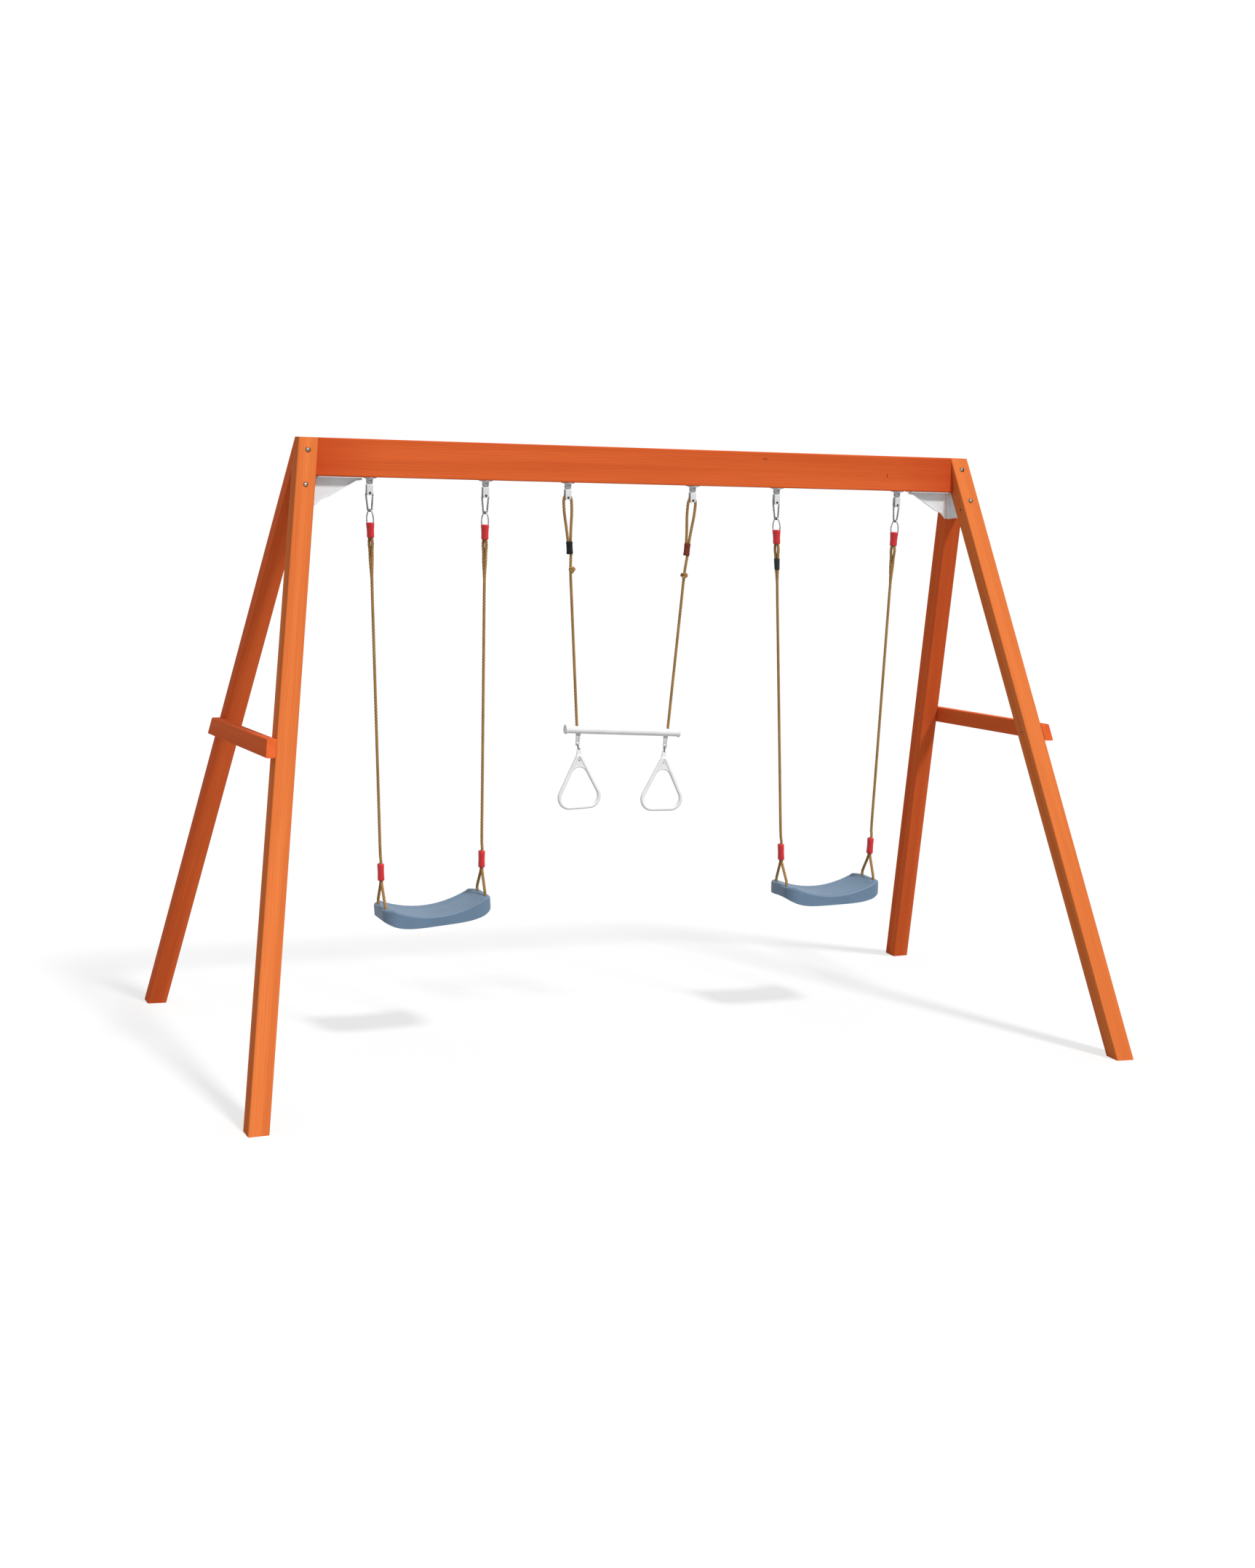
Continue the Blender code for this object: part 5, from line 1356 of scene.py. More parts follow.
@dataclass(kw_only=True)
class SwingSeat(SubAssembly):
    """The moulded seat of a swing: a sagging top with raised ends, and a skirt all round."""

    hanging: Hanging
    width: float = 0.410
    depth: float = 0.195
    sag: float = 0.040
    wall: float = 0.004
    skirt: float = 0.042
    corner: float = 0.050
    ear_length: float = 0.052
    ear_step: float = 0.009
    dish: float = 0.004
    edge: float = 0.0075
    rib_depth: float = 0.014

    def top_level(self, x: float) -> float:
        """Height of the top along the seat's width, from the level of its raised ends."""
        inner = self.width / 2 - self.ear_length
        if abs(x) >= inner:
            rise = min(1.0, (abs(x) - inner) / 0.018)
            return -self.ear_step * (1 - eased(rise))
        return -self.ear_step - (self.sag - self.ear_step) * (1 - (x / inner) ** 2)

    def skirt_foot(self, x: float) -> float:
        """Height of the skirt's lower edge."""
        share = min(1.0, abs(2 * x / self.width))
        return -self.skirt - 0.9 * self.sag * (1 - share**4.2)

    def inside(self, x: float, y: float) -> float:
        """How far a point lies inside the seat's rounded outline."""
        over_x = abs(x) - (self.width / 2 - self.corner)
        over_y = abs(y) - (self.depth / 2 - self.corner)
        outside = math.hypot(max(over_x, 0), max(over_y, 0)) + min(max(over_x, over_y), 0)
        return self.corner - outside

    def surface(self, x: float, y: float) -> float:
        """Height of the moulded top, with its rounded edge and the shallow dish inside it."""
        reach = self.inside(x, y)
        rounding = max(0.0, 1 - reach / self.edge)
        drop = self.edge * (1 - math.sqrt(max(0.0, 1 - rounding**2)))
        hollow = min(1.0, max(0.0, (reach - 0.006) / 0.045))
        return self.top_level(x) - drop - self.dish * eased(hollow)

    def form(self) -> Thing:
        """The shell with three ribs below its top."""
        ribs = [self.rib_form(x) for x in (-0.100, 0.0, 0.100)]
        return joined("seat_form", [self.shell(), *ribs])

    def shell(self) -> Thing:
        """A plane with rounded corners, bisected, inset, shaped, skirted and given its wall."""
        bpy.ops.mesh.primitive_plane_add(size=1, location=(0, 0, 0))
        seat = new_piece("seat_form")
        with editing(seat, every=True):
            bpy.ops.transform.resize(value=(self.width, self.depth, 1), center_override=(0, 0, 0))
            bpy.ops.mesh.bevel(offset=self.corner, offset_type="OFFSET", segments=10, affect="VERTICES")
            for thickness in (0.0004, 0.0009, 0.0014, 0.0018, 0.0022, 0.0030, 0.0045):
                pick(seat, "faces", lambda face: face.calc_area() > 0.02)
                bpy.ops.mesh.inset(thickness=thickness, use_even_offset=True)
            for x in np.linspace(-0.200, 0.200, 51):
                bpy.ops.mesh.select_all(action="SELECT")
                bpy.ops.mesh.bisect(plane_co=(x, 0, 0), plane_no=(1, 0, 0))
            for y in np.linspace(-0.072, 0.072, 17):
                bpy.ops.mesh.select_all(action="SELECT")
                bpy.ops.mesh.bisect(plane_co=(0, y, 0), plane_no=(0, 1, 0))
        for vertex in seat.data.vertices:
            vertex.co.z = self.surface(vertex.co.x, vertex.co.y)
        self.add_skirt(seat)
        outwards(seat, FINE)
        wall = seat.modifiers.new("wall", "SOLIDIFY")
        wall.thickness = self.wall
        wall.offset = -1
        apply_all(seat)
        for x in (-self.hanging.spacing / 2, self.hanging.spacing / 2):
            for y in (-HOLE_SPREAD / 2, HOLE_SPREAD / 2):
                drilled(seat, Vector((x, y, 0.02)), Vector((x, y, -self.skirt)), SHOWN_RADIUS + 0.0008)
        return settled(seat, None, 40)

    def add_skirt(self, seat: Thing) -> None:
        """Extrudes the outline down to the skirt's foot, with a rolled lower edge."""
        rows = (0.10, 0.30, 0.55, 0.80, 0.94, 1.0)
        start = {}
        with editing(seat):
            for _ in rows:
                pick(seat, "edges", lambda edge: edge.is_boundary and all(v.co.z > -0.5 for v in edge.verts))
                bpy.ops.mesh.extrude_region_move(TRANSFORM_OT_translate={"value": (0, 0, -1.0)})
                shape = bmesh.from_edit_mesh(seat.data)
                for vertex in shape.verts:
                    if vertex.co.z < -0.5:
                        key = (round(vertex.co.x, 5), round(vertex.co.y, 5))
                        start.setdefault(key, 0)
                        row = start[key]
                        start[key] += 1
                        x, y = vertex.co.x, vertex.co.y
                        high, low = self.surface(x, y), self.skirt_foot(x)
                        vertex.co.z = high + (low - high) * rows[min(row, len(rows) - 1)]
                bmesh.update_edit_mesh(seat.data)

    def rib_form(self, x: float) -> Thing:
        """A stiffening rib under the top, across the seat."""
        half = self.depth / 2 - self.wall
        stations = np.linspace(-half, half, 15)
        upper = [(y, self.surface(x, y) - self.wall + 0.0006) for y in stations]
        lower = [(y, self.top_level(x) - self.wall - self.rib_depth) for y in stations[::-1]]
        place = Matrix.Translation((x, 0, 0)) @ rotation(90, "Z")
        return plate(f"rib_{x:.2f}", upper + lower, 0.003, 0.0, place)

    def build(self) -> None:
        """The seat, in the frame of the swing's foot."""
        name = self.hanging.body
        piece = self.pattern(self.form).at(name + "_moulded_seat", self.hanging.foot())
        self.keep(piece, name, SEAT_PLASTIC, name + "_seat")


@dataclass(kw_only=True)
class TrapezeRopes(SubAssembly):
    """The trapeze's two ropes: a loop over the clevis pin, a crimped sleeve, a stopper knot, and on into the bar."""

    hanging: Hanging = TRAPEZE
    loop_radius: float = 0.0140
    crimp_drop: float = 0.182
    crimp_height: float = 0.047
    crimp_half: Pair = (0.0125, 0.0088)
    knot_drop: float = 0.281
    socket: float = 0.021

    def route(self, side: Side) -> list[Point]:
        """The route of one rope, in the frame of its line."""
        arch, apart = PIN_RADIUS + GAP + ROPE_RADIUS, ROPE_RADIUS + GAP
        bottom = -self.hanging.line(side).distance - self.socket + BAR_RADIUS + GAP
        drop, height, loop = self.crimp_drop, self.crimp_height, self.loop_radius
        bight = [(-0.0090, 0, -0.110), (-0.0140, 0, -0.060), (-0.0152, 0, -0.022)]
        bight += [(-loop, 0, arch - loop), (-0.707 * loop, 0, arch - 0.293 * loop)]
        route = [(-apart, 0, -drop - height * 0.3), (-apart, 0, -drop + height / 2)]
        route += [*bight, (0, 0, arch), *[(-x, y, z) for x, y, z in reversed(bight)]]
        route += [(apart, 0, -drop + height / 2), (apart, 0, -drop - height * 0.3)]
        route += [(apart * 0.5, 0, -drop - height), (0, 0, -self.knot_drop)]
        return route + [(0, 0, z) for z in np.linspace(-self.knot_drop, bottom, 7)[1:]]

    def knot(self, name: str, pin: Matrix, aside: float, lift: float, size: float) -> Thing:
        """A stopper knot, beside the rope's line and above its usual level by that much."""
        turns = np.linspace(0, 2 * math.pi, 70)[:-4]
        a = size * (np.sin(turns) + 2 * np.sin(2 * turns))
        b = size * (np.cos(turns) - 2 * np.cos(2 * turns))
        c = -1.25 * size * np.sin(3 * turns)
        line = np.stack([a + aside, c, 1.1 * b - self.knot_drop + lift], axis=1)
        return laid_rope(name, moved(line, pin), (0.0044, 0.0044), lay=0.030)

    def crimp_form(self) -> Thing:
        """The sleeve crimped round the rope's two parts, about its own middle."""
        end = [(0.74, 1), (0.90, 0.96), (1.0, 0.88), (1.0, 0.62), (0.95, 0.5)]
        return sleeve_form("crimp_form", self.crimp_height, self.crimp_half, end)

    def build(self) -> None:
        """Both ropes with their crimps and knots."""
        crimp = self.pattern(self.crimp_form)
        kinds = ((Side.LEFT, BLACK_SLEEVE, 0.0065, 0.018, 0.0030), (Side.RIGHT, RUST_SLEEVE, 0.0, 0.0, 0.0036))
        for side, finish, aside, lift, size in kinds:
            prefix, body = f"trapeze_{side.word}", self.hanging.body
            pin = self.hanging.line(side).pin
            path = moved(smooth_line(self.route(side)), pin)
            rope = laid_rope(prefix + "_laid_rope", path, SHOWN_HALVES)
            self.keep(rope, body, ROPE, prefix + "_rope")
            sleeve = crimp.at(prefix + "_crimp", pin @ Matrix.Translation((0, 0, -self.crimp_drop)))
            self.keep(sleeve, body, finish)
            knot = self.keep(self.knot(prefix + "_knot", pin, aside, lift, size), body, ROPE)


@dataclass(kw_only=True)
class TrapezeBar(SubAssembly):
    """The white bar with a flange at each end, and the two straps that carry the rings."""

    hanging: Hanging = TRAPEZE
    length: float = 0.463
    flange_radius: float = 0.0185
    flange_length: float = 0.011
    strap_width: float = 0.018
    strap_thickness: float = 0.004
    strap_foot_radius: float = 0.0025
    window: Pair = (0.0095, 0.0115)

    def bar_form(self) -> Thing:
        """The turned bar along X, drilled where the ropes go in."""
        half, radius, flange = self.length / 2, BAR_RADIUS, self.flange_radius
        neck = half - self.flange_length
        end = [(0, half - 0.0012), (0.0085, half - 0.0010), (0.0100, half), (flange - 0.0030, half)]
        end += [(flange - 0.0009, half - 0.0008), (flange, half - 0.0030), (flange - 0.0006, half - 0.0060)]
        end += [(radius + 0.0008, neck + 0.001), (radius, neck - 0.001)]
        profile = [(r, -z) for r, z in end] + [(radius, 0)] + [(r, z) for r, z in reversed(end)]
        bar = turned("bar", profile, 40, rotation(90, "Y"))
        for side in Side:
            top = Vector((side.value * self.hanging.spacing / 2, 0, 0))
            into = self.hanging.foot().inverted().to_3x3()
            direction = (into @ self.hanging.line(side).pin.to_3x3()) @ Vector((0, 0, 1))
            drilled(bar, top + direction * 0.05, top - direction * 0.008, SHOWN_RADIUS + 0.0011)
        return settled(bar, None, 35)

    def strap_form(self) -> Thing:
        """A strap below the bar, tapering to a round foot with a window above it, about the bar's middle."""
        half, foot = self.strap_width / 2, -STRAP_DROP
        outline = [(-half, -BAR_RADIUS + 0.004), (-half + 0.0012, foot + 0.018), (-half + 0.0022, foot - 0.001)]
        outline += [(-x, z) for x, z in reversed(outline)]
        strap = plate("strap", outline, self.strap_thickness)
        wide, high, bend = self.window[0] / 2, foot + self.window[1], 0.003
        opening = [(-wide, foot), (wide, foot), (wide, high - bend)]
        opening += arc((wide - bend, high - bend), bend, 0, 90, 5)[1:]
        opening += [*arc((bend - wide, high - bend), bend, 90, 180, 5)[:-1], (-wide, high - bend)]
        window = plate("window", opening, 0.02)
        cut_out(strap, window)
        bevelled(strap, 0.0007, angle=50)
        reach, radius = half - 0.001, self.strap_foot_radius
        profile = mirrored([(0, reach), (radius - 0.0005, reach), (radius, reach - 0.0005)])
        place = Matrix.Translation((0, 0, foot)) @ rotation(90, "Y")
        return joined("strap_form", [strap, turned("foot", profile, 20, place)])

    def build(self) -> None:
        """The bar and a strap at each end of it."""
        body, foot = self.hanging.body, self.hanging.foot()
        bar = self.pattern(self.bar_form).at("trapeze_turned_bar", foot)
        self.keep(bar, body, WHITE_PLASTIC, "trapeze_bar")
        strap = self.pattern(self.strap_form)
        for side in Side:
            place = foot @ Matrix.Translation((side.value * STRAP_SPACING / 2, 0, 0))
            self.keep(strap.at(f"trapeze_{side.word}_strap", place), body, STRAP_PLASTIC)


@dataclass(kw_only=True)
class RingGrips(SubAssembly):
    """The two triangular grips, each in its wire link."""

    hanging: Hanging = TRAPEZE
    link_wire: float = 0.002
    link_radius: float = 0.0049
    link_straight: float = 0.0125
    width: float = 0.172
    height: float = 0.208
    rim: float = 0.0145
    apex_radius: float = 0.015
    corner_radius: float = 0.047
    opening_apex_radius: float = 0.031
    tab_thickness: float = 0.005
    tab_radius: float = 0.0072
    tab_hole: float = 0.0035
    tab_reach: float = 0.018
    rivet_level: float = 0.1862

    def outline(self, inset: float, apex_radius: float) -> list[Pair]:
        """A rounded triangle that stands on 0, that far inside the grip's own outline."""
        corner = Vector((self.width / 2 - self.corner_radius, self.corner_radius))
        apex = Vector((0, self.height - self.apex_radius))
        flank = math.atan2(apex.y - corner.y, apex.x - corner.x)
        flank -= math.acos((self.corner_radius - self.apex_radius) / (apex - corner).length)
        reach = corner.x * math.cos(flank) + corner.y * math.sin(flank) + self.corner_radius - inset
        level = (reach - apex_radius) / math.sin(flank)
        slope = math.degrees(flank)
        right = arc((corner.x, corner.y), self.corner_radius - inset, -90, slope, 16)
        top = arc((0, level), apex_radius, slope, 180 - slope, 14)
        return right + top + [(-a, b) for a, b in reversed(right)]

    def grip_form(self) -> Thing:
        """The round rim, the bead round the opening, the web above it and the tab, about the grip's foot."""
        half = self.rim / 2
        rim = [(x, 0, z) for x, z in self.outline(half, max(self.apex_radius - half, 0.004))]
        parts = [wire("rim", rim, half, Matrix.Diagonal((1, 0.96, 1, 1)), closed=True)]
        bead = [(x, 0, z) for x, z in self.outline(self.rim - 0.0047, self.opening_apex_radius + 0.0047)]
        parts.append(wire("bead", bead, 0.0047, closed=True))
        top = [point for point in self.outline(self.rim - 0.004, self.opening_apex_radius + 0.004) if point[1] > 0.115]
        right = sorted([p for p in top if p[0] >= 0], key=lambda p: p[1])
        cap = [point for point in self.outline(half, self.apex_radius - half) if point[1] > 0.115]
        flank = sorted([p for p in cap if p[0] > 0.0001], key=lambda p: p[1])
        web = flank + [(-x, z) for x, z in reversed(flank)] + [(-x, z) for x, z in right] + list(reversed(right))
        parts.append(plate("web", self.tidied(web), 0.0085))
        tab = [(-self.tab_radius - 0.004, self.height - 0.014), (-self.tab_radius, self.height + self.tab_reach)]
        tab += arc((0, self.height + self.tab_reach), self.tab_radius, 180, 0, 14)[1:-1]
        tab += [(self.tab_radius, self.height + self.tab_reach), (self.tab_radius + 0.004, self.height - 0.014)]
        piece = plate("tab", tab, self.tab_thickness)
        eye = Vector((0, 0, self.height + self.tab_reach))
        drilled(piece, eye - Vector((0, 0.01, 0)), eye + Vector((0, 0.01, 0)), self.tab_hole)
        bevelled(piece, 0.0007, angle=50)
        parts.append(settled(piece))
        return joined("grip_form", parts)

    def tidied(self, outline: list[Pair]) -> list[Pair]:
        """An outline without the points that nearly repeat the one before."""
        kept = [outline[0]]
        for point in outline[1:]:
            if math.dist(point, kept[-1]) > 0.0003:
                kept.append(point)
        return kept[:-1] if math.dist(kept[0], kept[-1]) < 0.0003 else kept

    def rivet_form(self) -> Thing:
        """The domed pin through the web, with a washer on both faces, along Y."""
        end = [(0, 0.0070), (0.0013, 0.0068), (0.0024, 0.0060), (0.0029, 0.0052)]
        end += [(0.0036, 0.0050), (0.0044, 0.0049), (0.0047, 0.0045), (0.0047, 0.0040)]
        return turned("rivet_form", mirrored(end), 28, rotation(-90, "X"))

    def link_form(self) -> Thing:
        """The closed wire link in the YZ plane, hanging from its top's middle."""
        outline = arc((0, 0), self.link_radius, 0, 180, 14)
        outline += arc((0, -self.link_straight), self.link_radius, 180, 360, 14)
        return wire("link_form", [(0, a, b) for a, b in outline], self.link_wire, closed=True)

    def build(self) -> None:
        """The links and the grips, with the leans that they hang at."""
        grip, rivet, link = self.pattern(self.grip_form), self.pattern(self.rivet_form), self.pattern(self.link_form)
        kinds = ((Side.LEFT, -22.0, -2.5, RING_ZINC), (Side.RIGHT, 8.0, 1.0, SHADED_HANGER_PAINT))
        for side, link_lean, grip_lean, pin_finish in kinds:
            body = f"{side.word}_ring"
            offset = Vector((side.value * STRAP_SPACING / 2, 0, -STRAP_DROP))
            axis = Matrix.Translation(self.hanging.foot() @ offset)
            link_place = axis @ rotation(link_lean, "Y")
            hole = link_place @ Vector((0, 0, -self.link_straight - self.link_radius))
            place = Matrix.Translation(hole) @ rotation(grip_lean, "Y")
            place = place @ Matrix.Translation((0, 0, -self.tab_reach - self.height))
            self.keep(link.at(body + "_wire_link", link_place), body, ZINC, body + "_link")
            self.keep(grip.at(body + "_moulded_grip", place), body, GRIP_PLASTIC, body + "_grip")
            level = place @ Matrix.Translation((0, 0, self.rivet_level))
            self.keep(rivet.at(body + "_rivet", level), body, pin_finish)


@dataclass(kw_only=True)
class Stand(SubAssembly):
    """The beam, two A-frames with a brace each, their bolts and the corner brackets."""

    height: float = 2.200
    beam_length: float = 2.508
    beam_depth: float = 0.055
    leg_width: float = 0.070
    leg_thickness: float = 0.070
    side_lean: float = math.radians(9.15)
    leg_spread: float = math.radians(21.3)
    brace_level: float = 1.159
    brace_fall: float = 2.6
    sheet: float = 0.003
    bolt_radius: float = 0.004
    head_radius: float = 0.0085
    head_height: float = 0.006
    nut_radius: float = 0.0068
    nut_height: float = 0.0065
    apex_drop: float = 0.043
    bracket_drop: float = 0.160
    spot_face: float = 0.019

    def frame_point(self, side: int, across: float, down: float, out: float) -> Vector:
        """A point of an A-frame's plane in space, down its lean and square out of it."""
        lean = self.side_lean
        top = self.beam_length / 2 + GAP + self.leg_thickness / 2 / math.cos(lean)
        x = side * (top + down * math.sin(lean) + out * math.cos(lean))
        return Vector((x, across, self.height - down * math.cos(lean) + out * math.sin(lean)))

    def leg_outer(self, down: float) -> float:
        """Distance of a leg's outer face from the middle of the A-frame."""
        return self.beam_depth / 2 + down * math.tan(self.leg_spread)

    def bolt_form(self, grip: float, far_dome: bool) -> Thing:
        """A domed bolt from its head's seat at Z = 0 along Z, with a nut or a second dome beyond its grip."""
        head, high, radius = self.head_radius, self.head_height, self.bolt_radius
        angles = np.linspace(0, math.pi / 2, 9)
        dome = [(head * math.sin(a), -GAP - 0.0010 - (high - 0.0010) * math.cos(a)) for a in angles]
        dome[0] = (0, -GAP - high)
        profile = [*dome, (head, -GAP - 0.0004), (head - 0.0005, -GAP), (radius, -GAP)]
        if far_dome:
            return turned("bolt", profile + [(r, grip - z) for r, z in reversed(profile)], 32)
        profile += [(radius, grip + 0.0096), (radius - 0.0006, grip + 0.0102), (0, grip + 0.0102)]
        shaft = turned("bolt", profile, 32)
        level = grip + GAP + self.nut_height / 2
        bpy.ops.mesh.primitive_cylinder_add(
            vertices=6, radius=self.nut_radius, depth=self.nut_height, location=(0, 0, level)
        )
        nut = new_piece("nut")
        bpy.ops.object.transform_apply(location=True)
        bevelled(nut, 0.0006, segments=3, angle=25)
        return joined("bolt_form", [shaft, settled(nut, None, 30)])

    def screw_form(self) -> Thing:
        """A countersunk screw head with a cross recess, its rim flush at Z = 0 and its face towards +Z."""
        profile = [(0, -0.0045), (0.0025, -0.0040), (0.0048, -0.0002), (0.0046, 0.0005), (0.0022, 0.0008), (0, 0.0009)]
        head = turned("screw_form", profile, 28)
        for turn in (0, 90):
            bpy.ops.mesh.primitive_cube_add(size=1, location=(0, 0, 0.0006))
            slot = new_piece("slot")
            with editing(slot, every=True):
                bpy.ops.transform.resize(value=(0.0052, 0.0010, 0.0022), center_override=(0, 0, 0))
            settled(slot, rotation(turn, "Z"))
            cut_out(head, slot)
        return settled(head)

    def bolts(self) -> None:
        """The apex bolts, and the bracket bolts with their nuts."""
        bracket = self.pattern(lambda: self.bolt_form(self.leg_width + GAP + self.sheet, False))
        lean, spread = self.side_lean, self.leg_spread
        for side in Side:
            for word, front in ROWS:
                down = self.bracket_drop / math.cos(lean)
                seat = self.frame_point(side.value, front * self.leg_outer(down), down, 0)
                ahead = front * (self.leg_outer(down) - math.cos(spread))
                inwards = self.frame_point(side.value, ahead, down + math.sin(spread), 0) - seat
                name = f"{word}_{side.word}_bracket_bolt"
                self.keep(bracket.at(name + "_domed", facing(seat, inwards)), "stand", BOLT_STEEL, name)
            down = self.apex_drop / math.cos(lean)
            seat = self.frame_point(side.value, -self.leg_outer(down - self.spot_face / 2), down, 0)
            name = f"{side.word}_apex_bolt"
            apex = self.pattern(lambda: self.bolt_form(-2 * seat.y, True))
            self.keep(apex.at(name + "_domed", facing(seat, Vector((0, 1, 0)))), "stand", BOLT_STEEL, name)

    def screws(self) -> None:
        """Small screw heads on the legs and braces, at the places where the real stand has them."""
        screw = self.pattern(self.screw_form)
        lean = self.side_lean
        inner = Vector((-math.cos(lean), 0, -math.sin(lean)))
        outer = Vector((-math.cos(lean), 0, math.sin(lean)))
        places = (
            ("right_front_leg_upper", (1.2860, -0.0700, 2.0030), inner),
            ("right_front_leg_brace", (1.4196, -0.3910, 1.1740), inner),
            ("right_rear_leg_brace", (1.4245, 0.4000, 1.1440), inner),
            ("left_brace_rear", (-1.5290, 0.3750, 1.1440), outer),
        )
        for word, spot, normal in places:
            self.keep(screw.at(word + "_screw", facing(spot, normal)), "stand", DARK_STEEL)

    def build(self) -> None:
        """The fasteners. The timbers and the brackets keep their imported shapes."""
        self.bolts()
        self.screws()

    def leg_axis(self, side: int, front: int) -> tuple[Vector, Vector]:
        """A leg's middle, and its direction."""
        half = self.leg_width / 2 / math.cos(self.leg_spread)
        ends = [self.frame_point(side, front * (self.leg_outer(down) - half), down, 0) for down in (0.2, 2.0)]
        return (ends[0] + ends[1]) / 2, (ends[1] - ends[0]).normalized()

    def timber(self, node: str, centre: Vector, along: Vector, across: Vector, tone: Point, **more: object) -> None:
        """Gives a packed timber its own stain.

        Args:
            node: the timber's name.
            centre: its middle.
            along: its length's direction.
            across: a direction square to its length.
            tone: the linear colour, partly the stain's own, and partly painted light and shade: lighter and yellower
                on the front legs, darker and redder on the beam, the rear legs and the braces.
            more: further fields of the finish.
        """
        light = (*[min(0.95, 1.13 * part) for part in tone], 1.0)
        dark = (0.86 * tone[0], 0.70 * tone[1], 0.62 * tone[2], 1.0)
        finish = StainedTimber(
            f"stained_{node}", "stained_timber", tuple(centre), tuple(along), tuple(across), light, dark, **more
        )
        self.coat(node, finish)

    def coat(self, node: str, finish: Finish) -> None:
        """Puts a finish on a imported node."""
        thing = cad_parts[node]
        for slot in thing.material_slots:
            slot.material = finish.material()

    def dress(self) -> None:
        """Dresses the fasteners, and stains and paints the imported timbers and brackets."""
        super().dress()
        bruise = Mark((0.4568, -0.0275, 2.1748), half_length=0.0026, half_width=0.0130)
        knot = Mark((0.9784, -0.0275, 2.1260), half_length=0.0100, half_width=0.0030)
        middle = Vector((0, 0, self.height - 0.066))
        # The beam's darker, redder tone is partly its stain and partly painted shade: its front faces the lamp less
        # squarely than the front legs do.
        tone = (0.69, 0.130, 0.033)
        ahead, across = Vector((1, 0, 0)), Vector((0, 1, 0))
        self.timber("beam", middle, ahead, across, tone, seed=1.7, marks=(bruise, knot), reddened=(1.02, 1.25))
        # The front legs' lighter, yellower tone is partly their stain and partly painted light on their up-tilted
        # faces. The rear legs and the braces take the darker, redder tone, partly as painted shade.
        stain_and_light_tones = {-1: (0.71, 0.192, 0.050), 1: (0.72, 0.136, 0.035)}
        for side in Side:
            for word, front in ROWS:
                centre, along = self.leg_axis(side.value, front)
                seed = 3.1 * side.value + 5.3 * front
                self.timber(f"{word}_{side.word}_leg", centre, along, Vector((1, 0, 0)), stain_and_light_tones[front], seed=seed)
            down = (self.height - self.brace_level) / math.cos(self.side_lean)
            centre = self.frame_point(side.value, 0, down, 0.052)
            fall = Vector((0, 1, -math.tan(math.radians(self.brace_fall))))
            self.timber(f"{side.word}_brace", centre, fall, Vector((1, 0, 0)), stain_and_light_tones[1], seed=9.7 * side.value)
            self.coat(f"{side.word}_corner_bracket", PAINTED)


# The studio


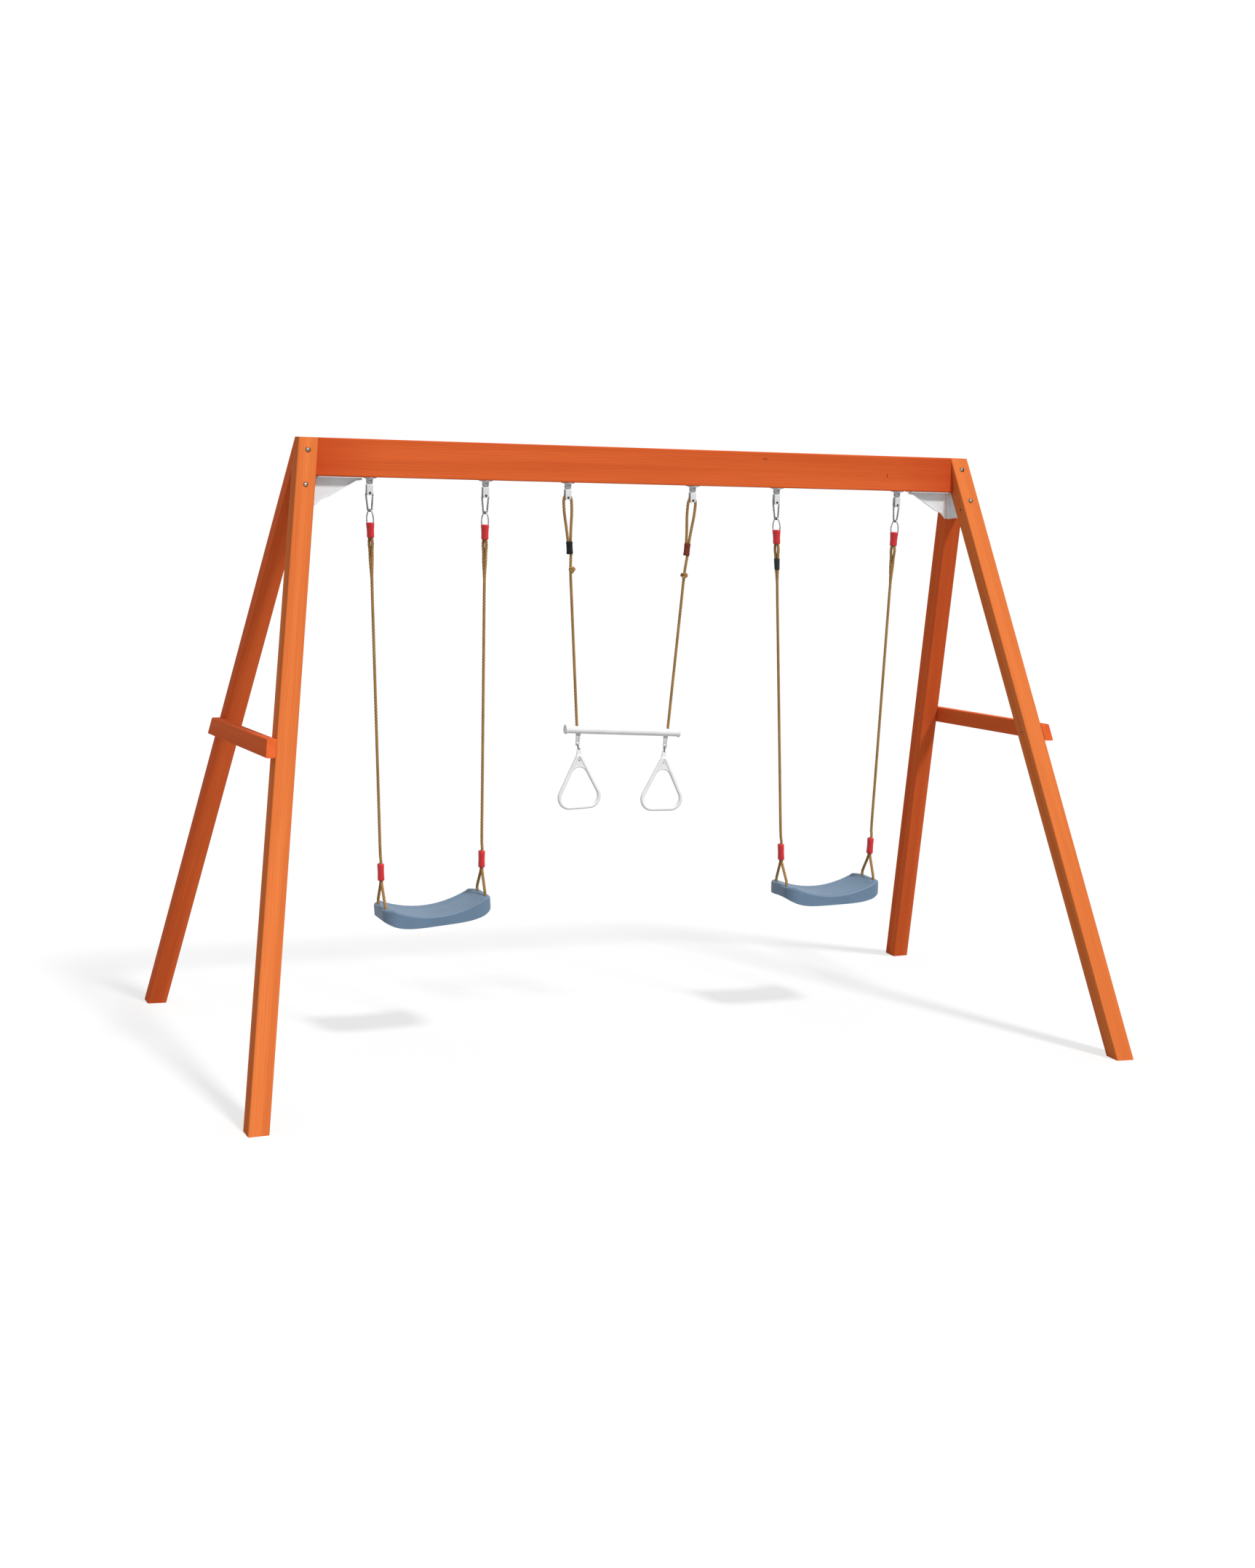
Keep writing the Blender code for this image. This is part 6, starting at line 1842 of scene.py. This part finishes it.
@dataclass(frozen=True)
class Studio:
    """A camera at the photograph's angle, a plain pale floor, and soft light from the front and above."""

    lens: float = 51.375
    camera_place: Point = (-3.2445, -7.6593, 2.2667)
    yaw: float = 22.686
    pitch: float = -9.008
    roll: float = 2.083
    sky: float = 0.46
    key_strength: float = 2.7
    key_travel: Point = (-0.25, 0.72, -1.0)
    key_angle: float = 8.0
    floor_glow: float = 0.68
    seen_grey: float = 0.90
    unseen_grey: float = 0.42

    def camera(self) -> None:
        """The camera."""
        yaw, pitch, roll = (math.radians(angle) for angle in (self.yaw, self.pitch, self.roll))
        ahead = Vector((math.sin(yaw) * math.cos(pitch), math.cos(yaw) * math.cos(pitch), math.sin(pitch)))
        right = Vector((math.cos(yaw), -math.sin(yaw), 0))
        up = right.cross(ahead)
        right, up = right * math.cos(roll) + up * math.sin(roll), up * math.cos(roll) - right * math.sin(roll)
        data = bpy.data.cameras.new("camera")
        data.sensor_fit = "AUTO"
        data.sensor_width = 36.0
        data.lens = self.lens
        camera = bpy.data.objects.new("camera", data)
        camera.matrix_world = Matrix.Translation(self.camera_place) @ Matrix((right, up, -ahead)).transposed().to_4x4()
        bpy.context.scene.collection.objects.link(camera)
        bpy.context.scene.camera = camera

    def key(self) -> None:
        """The one lamp: a wide soft sun."""
        data = bpy.data.lights.new("key", "SUN")
        data.energy = self.key_strength
        data.angle = math.radians(self.key_angle)
        lamp = bpy.data.objects.new("key", data)
        lamp.rotation_euler = Vector(self.key_travel).to_track_quat("-Z", "Y").to_euler()
        bpy.context.scene.collection.objects.link(lamp)

    def seen(self, tree: Tree) -> Socket:
        """1 for rays from the camera, and for those that a gloss or a clear surface sends on."""
        path = tree.node("ShaderNodeLightPath")
        share = tree.maths("MAXIMUM", path.outputs["Is Camera Ray"], path.outputs["Is Glossy Ray"])
        return tree.maths("MAXIMUM", share, path.outputs["Is Transmission Ray"])

    def sky_light(self) -> None:
        """The world: white where it is seen, and a level light otherwise."""
        world = bpy.data.worlds.new("studio")
        world.use_nodes = True
        bpy.context.scene.world = world
        tree = Tree(world.node_tree)
        background = world.node_tree.nodes["Background"]
        background.inputs["Color"].default_value = (1, 1, 1, 1)
        tree.link(tree.span(self.seen(tree), 0, 1, self.sky, 1.0), background.inputs["Strength"])

    def floor(self) -> None:
        """The floor, white where it is seen apart from the shadow on it."""
        bpy.ops.object.select_all(action="DESELECT")
        bpy.ops.mesh.primitive_plane_add(size=80, location=(0, 0, 0))
        floor = new_piece("studio_floor")
        material = bpy.data.materials.new("studio_floor")
        material.use_nodes = True
        tree = Tree(material.node_tree)
        tree.tree.nodes.remove(material.node_tree.nodes["Principled BSDF"])
        output = next(node for node in tree.tree.nodes if node.type == "OUTPUT_MATERIAL")
        pale, plain = tree.node("ShaderNodeBsdfDiffuse"), tree.node("ShaderNodeBsdfDiffuse")
        for node, grey in ((pale, self.seen_grey), (plain, self.unseen_grey)):
            node.inputs["Color"].default_value = (grey, grey, grey, 1)
        glow = tree.node("ShaderNodeEmission")
        white, all_of_it = tree.node("ShaderNodeMixShader"), tree.node("ShaderNodeMixShader")
        white.inputs["Fac"].default_value = self.floor_glow
        for mixer, first, second in ((white, pale, glow), (all_of_it, plain, white)):
            tree.link(first.outputs[0], mixer.inputs[1])
            tree.link(second.outputs[0], mixer.inputs[2])
        tree.link(self.seen(tree), all_of_it.inputs["Fac"])
        tree.link(all_of_it.outputs[0], output.inputs["Surface"])
        floor.data.materials.append(material)

    def build(self) -> None:
        """Camera, lamp, world and floor."""
        self.camera()
        self.key()
        self.sky_light()
        self.floor()
        bpy.context.scene.view_settings.view_transform = "Standard"


def main() -> None:
    """Builds the studio and every sub-assembly."""
    logging.basicConfig(level=logging.INFO, format="%(name)s: %(message)s")
    Studio().build()
    for assembly in (
        SwingRopes(hanging=LEFT_SWING),
        SwingRopes(hanging=RIGHT_SWING, taped=(Side.LEFT,)),
        TrapezeRopes(),
        Hangers(),
        HookAndRing(),
        SwingSeat(hanging=LEFT_SWING),
        SwingSeat(hanging=RIGHT_SWING),
        TrapezeBar(),
        RingGrips(),
        Stand(),
    ):
        assembly.build()
        assembly.dress()
        for piece in assembly.pieces:
            log.info("%s, %d faces", piece.thing.name, len(piece.thing.data.polygons))


if __name__ == "__main__":
    main()
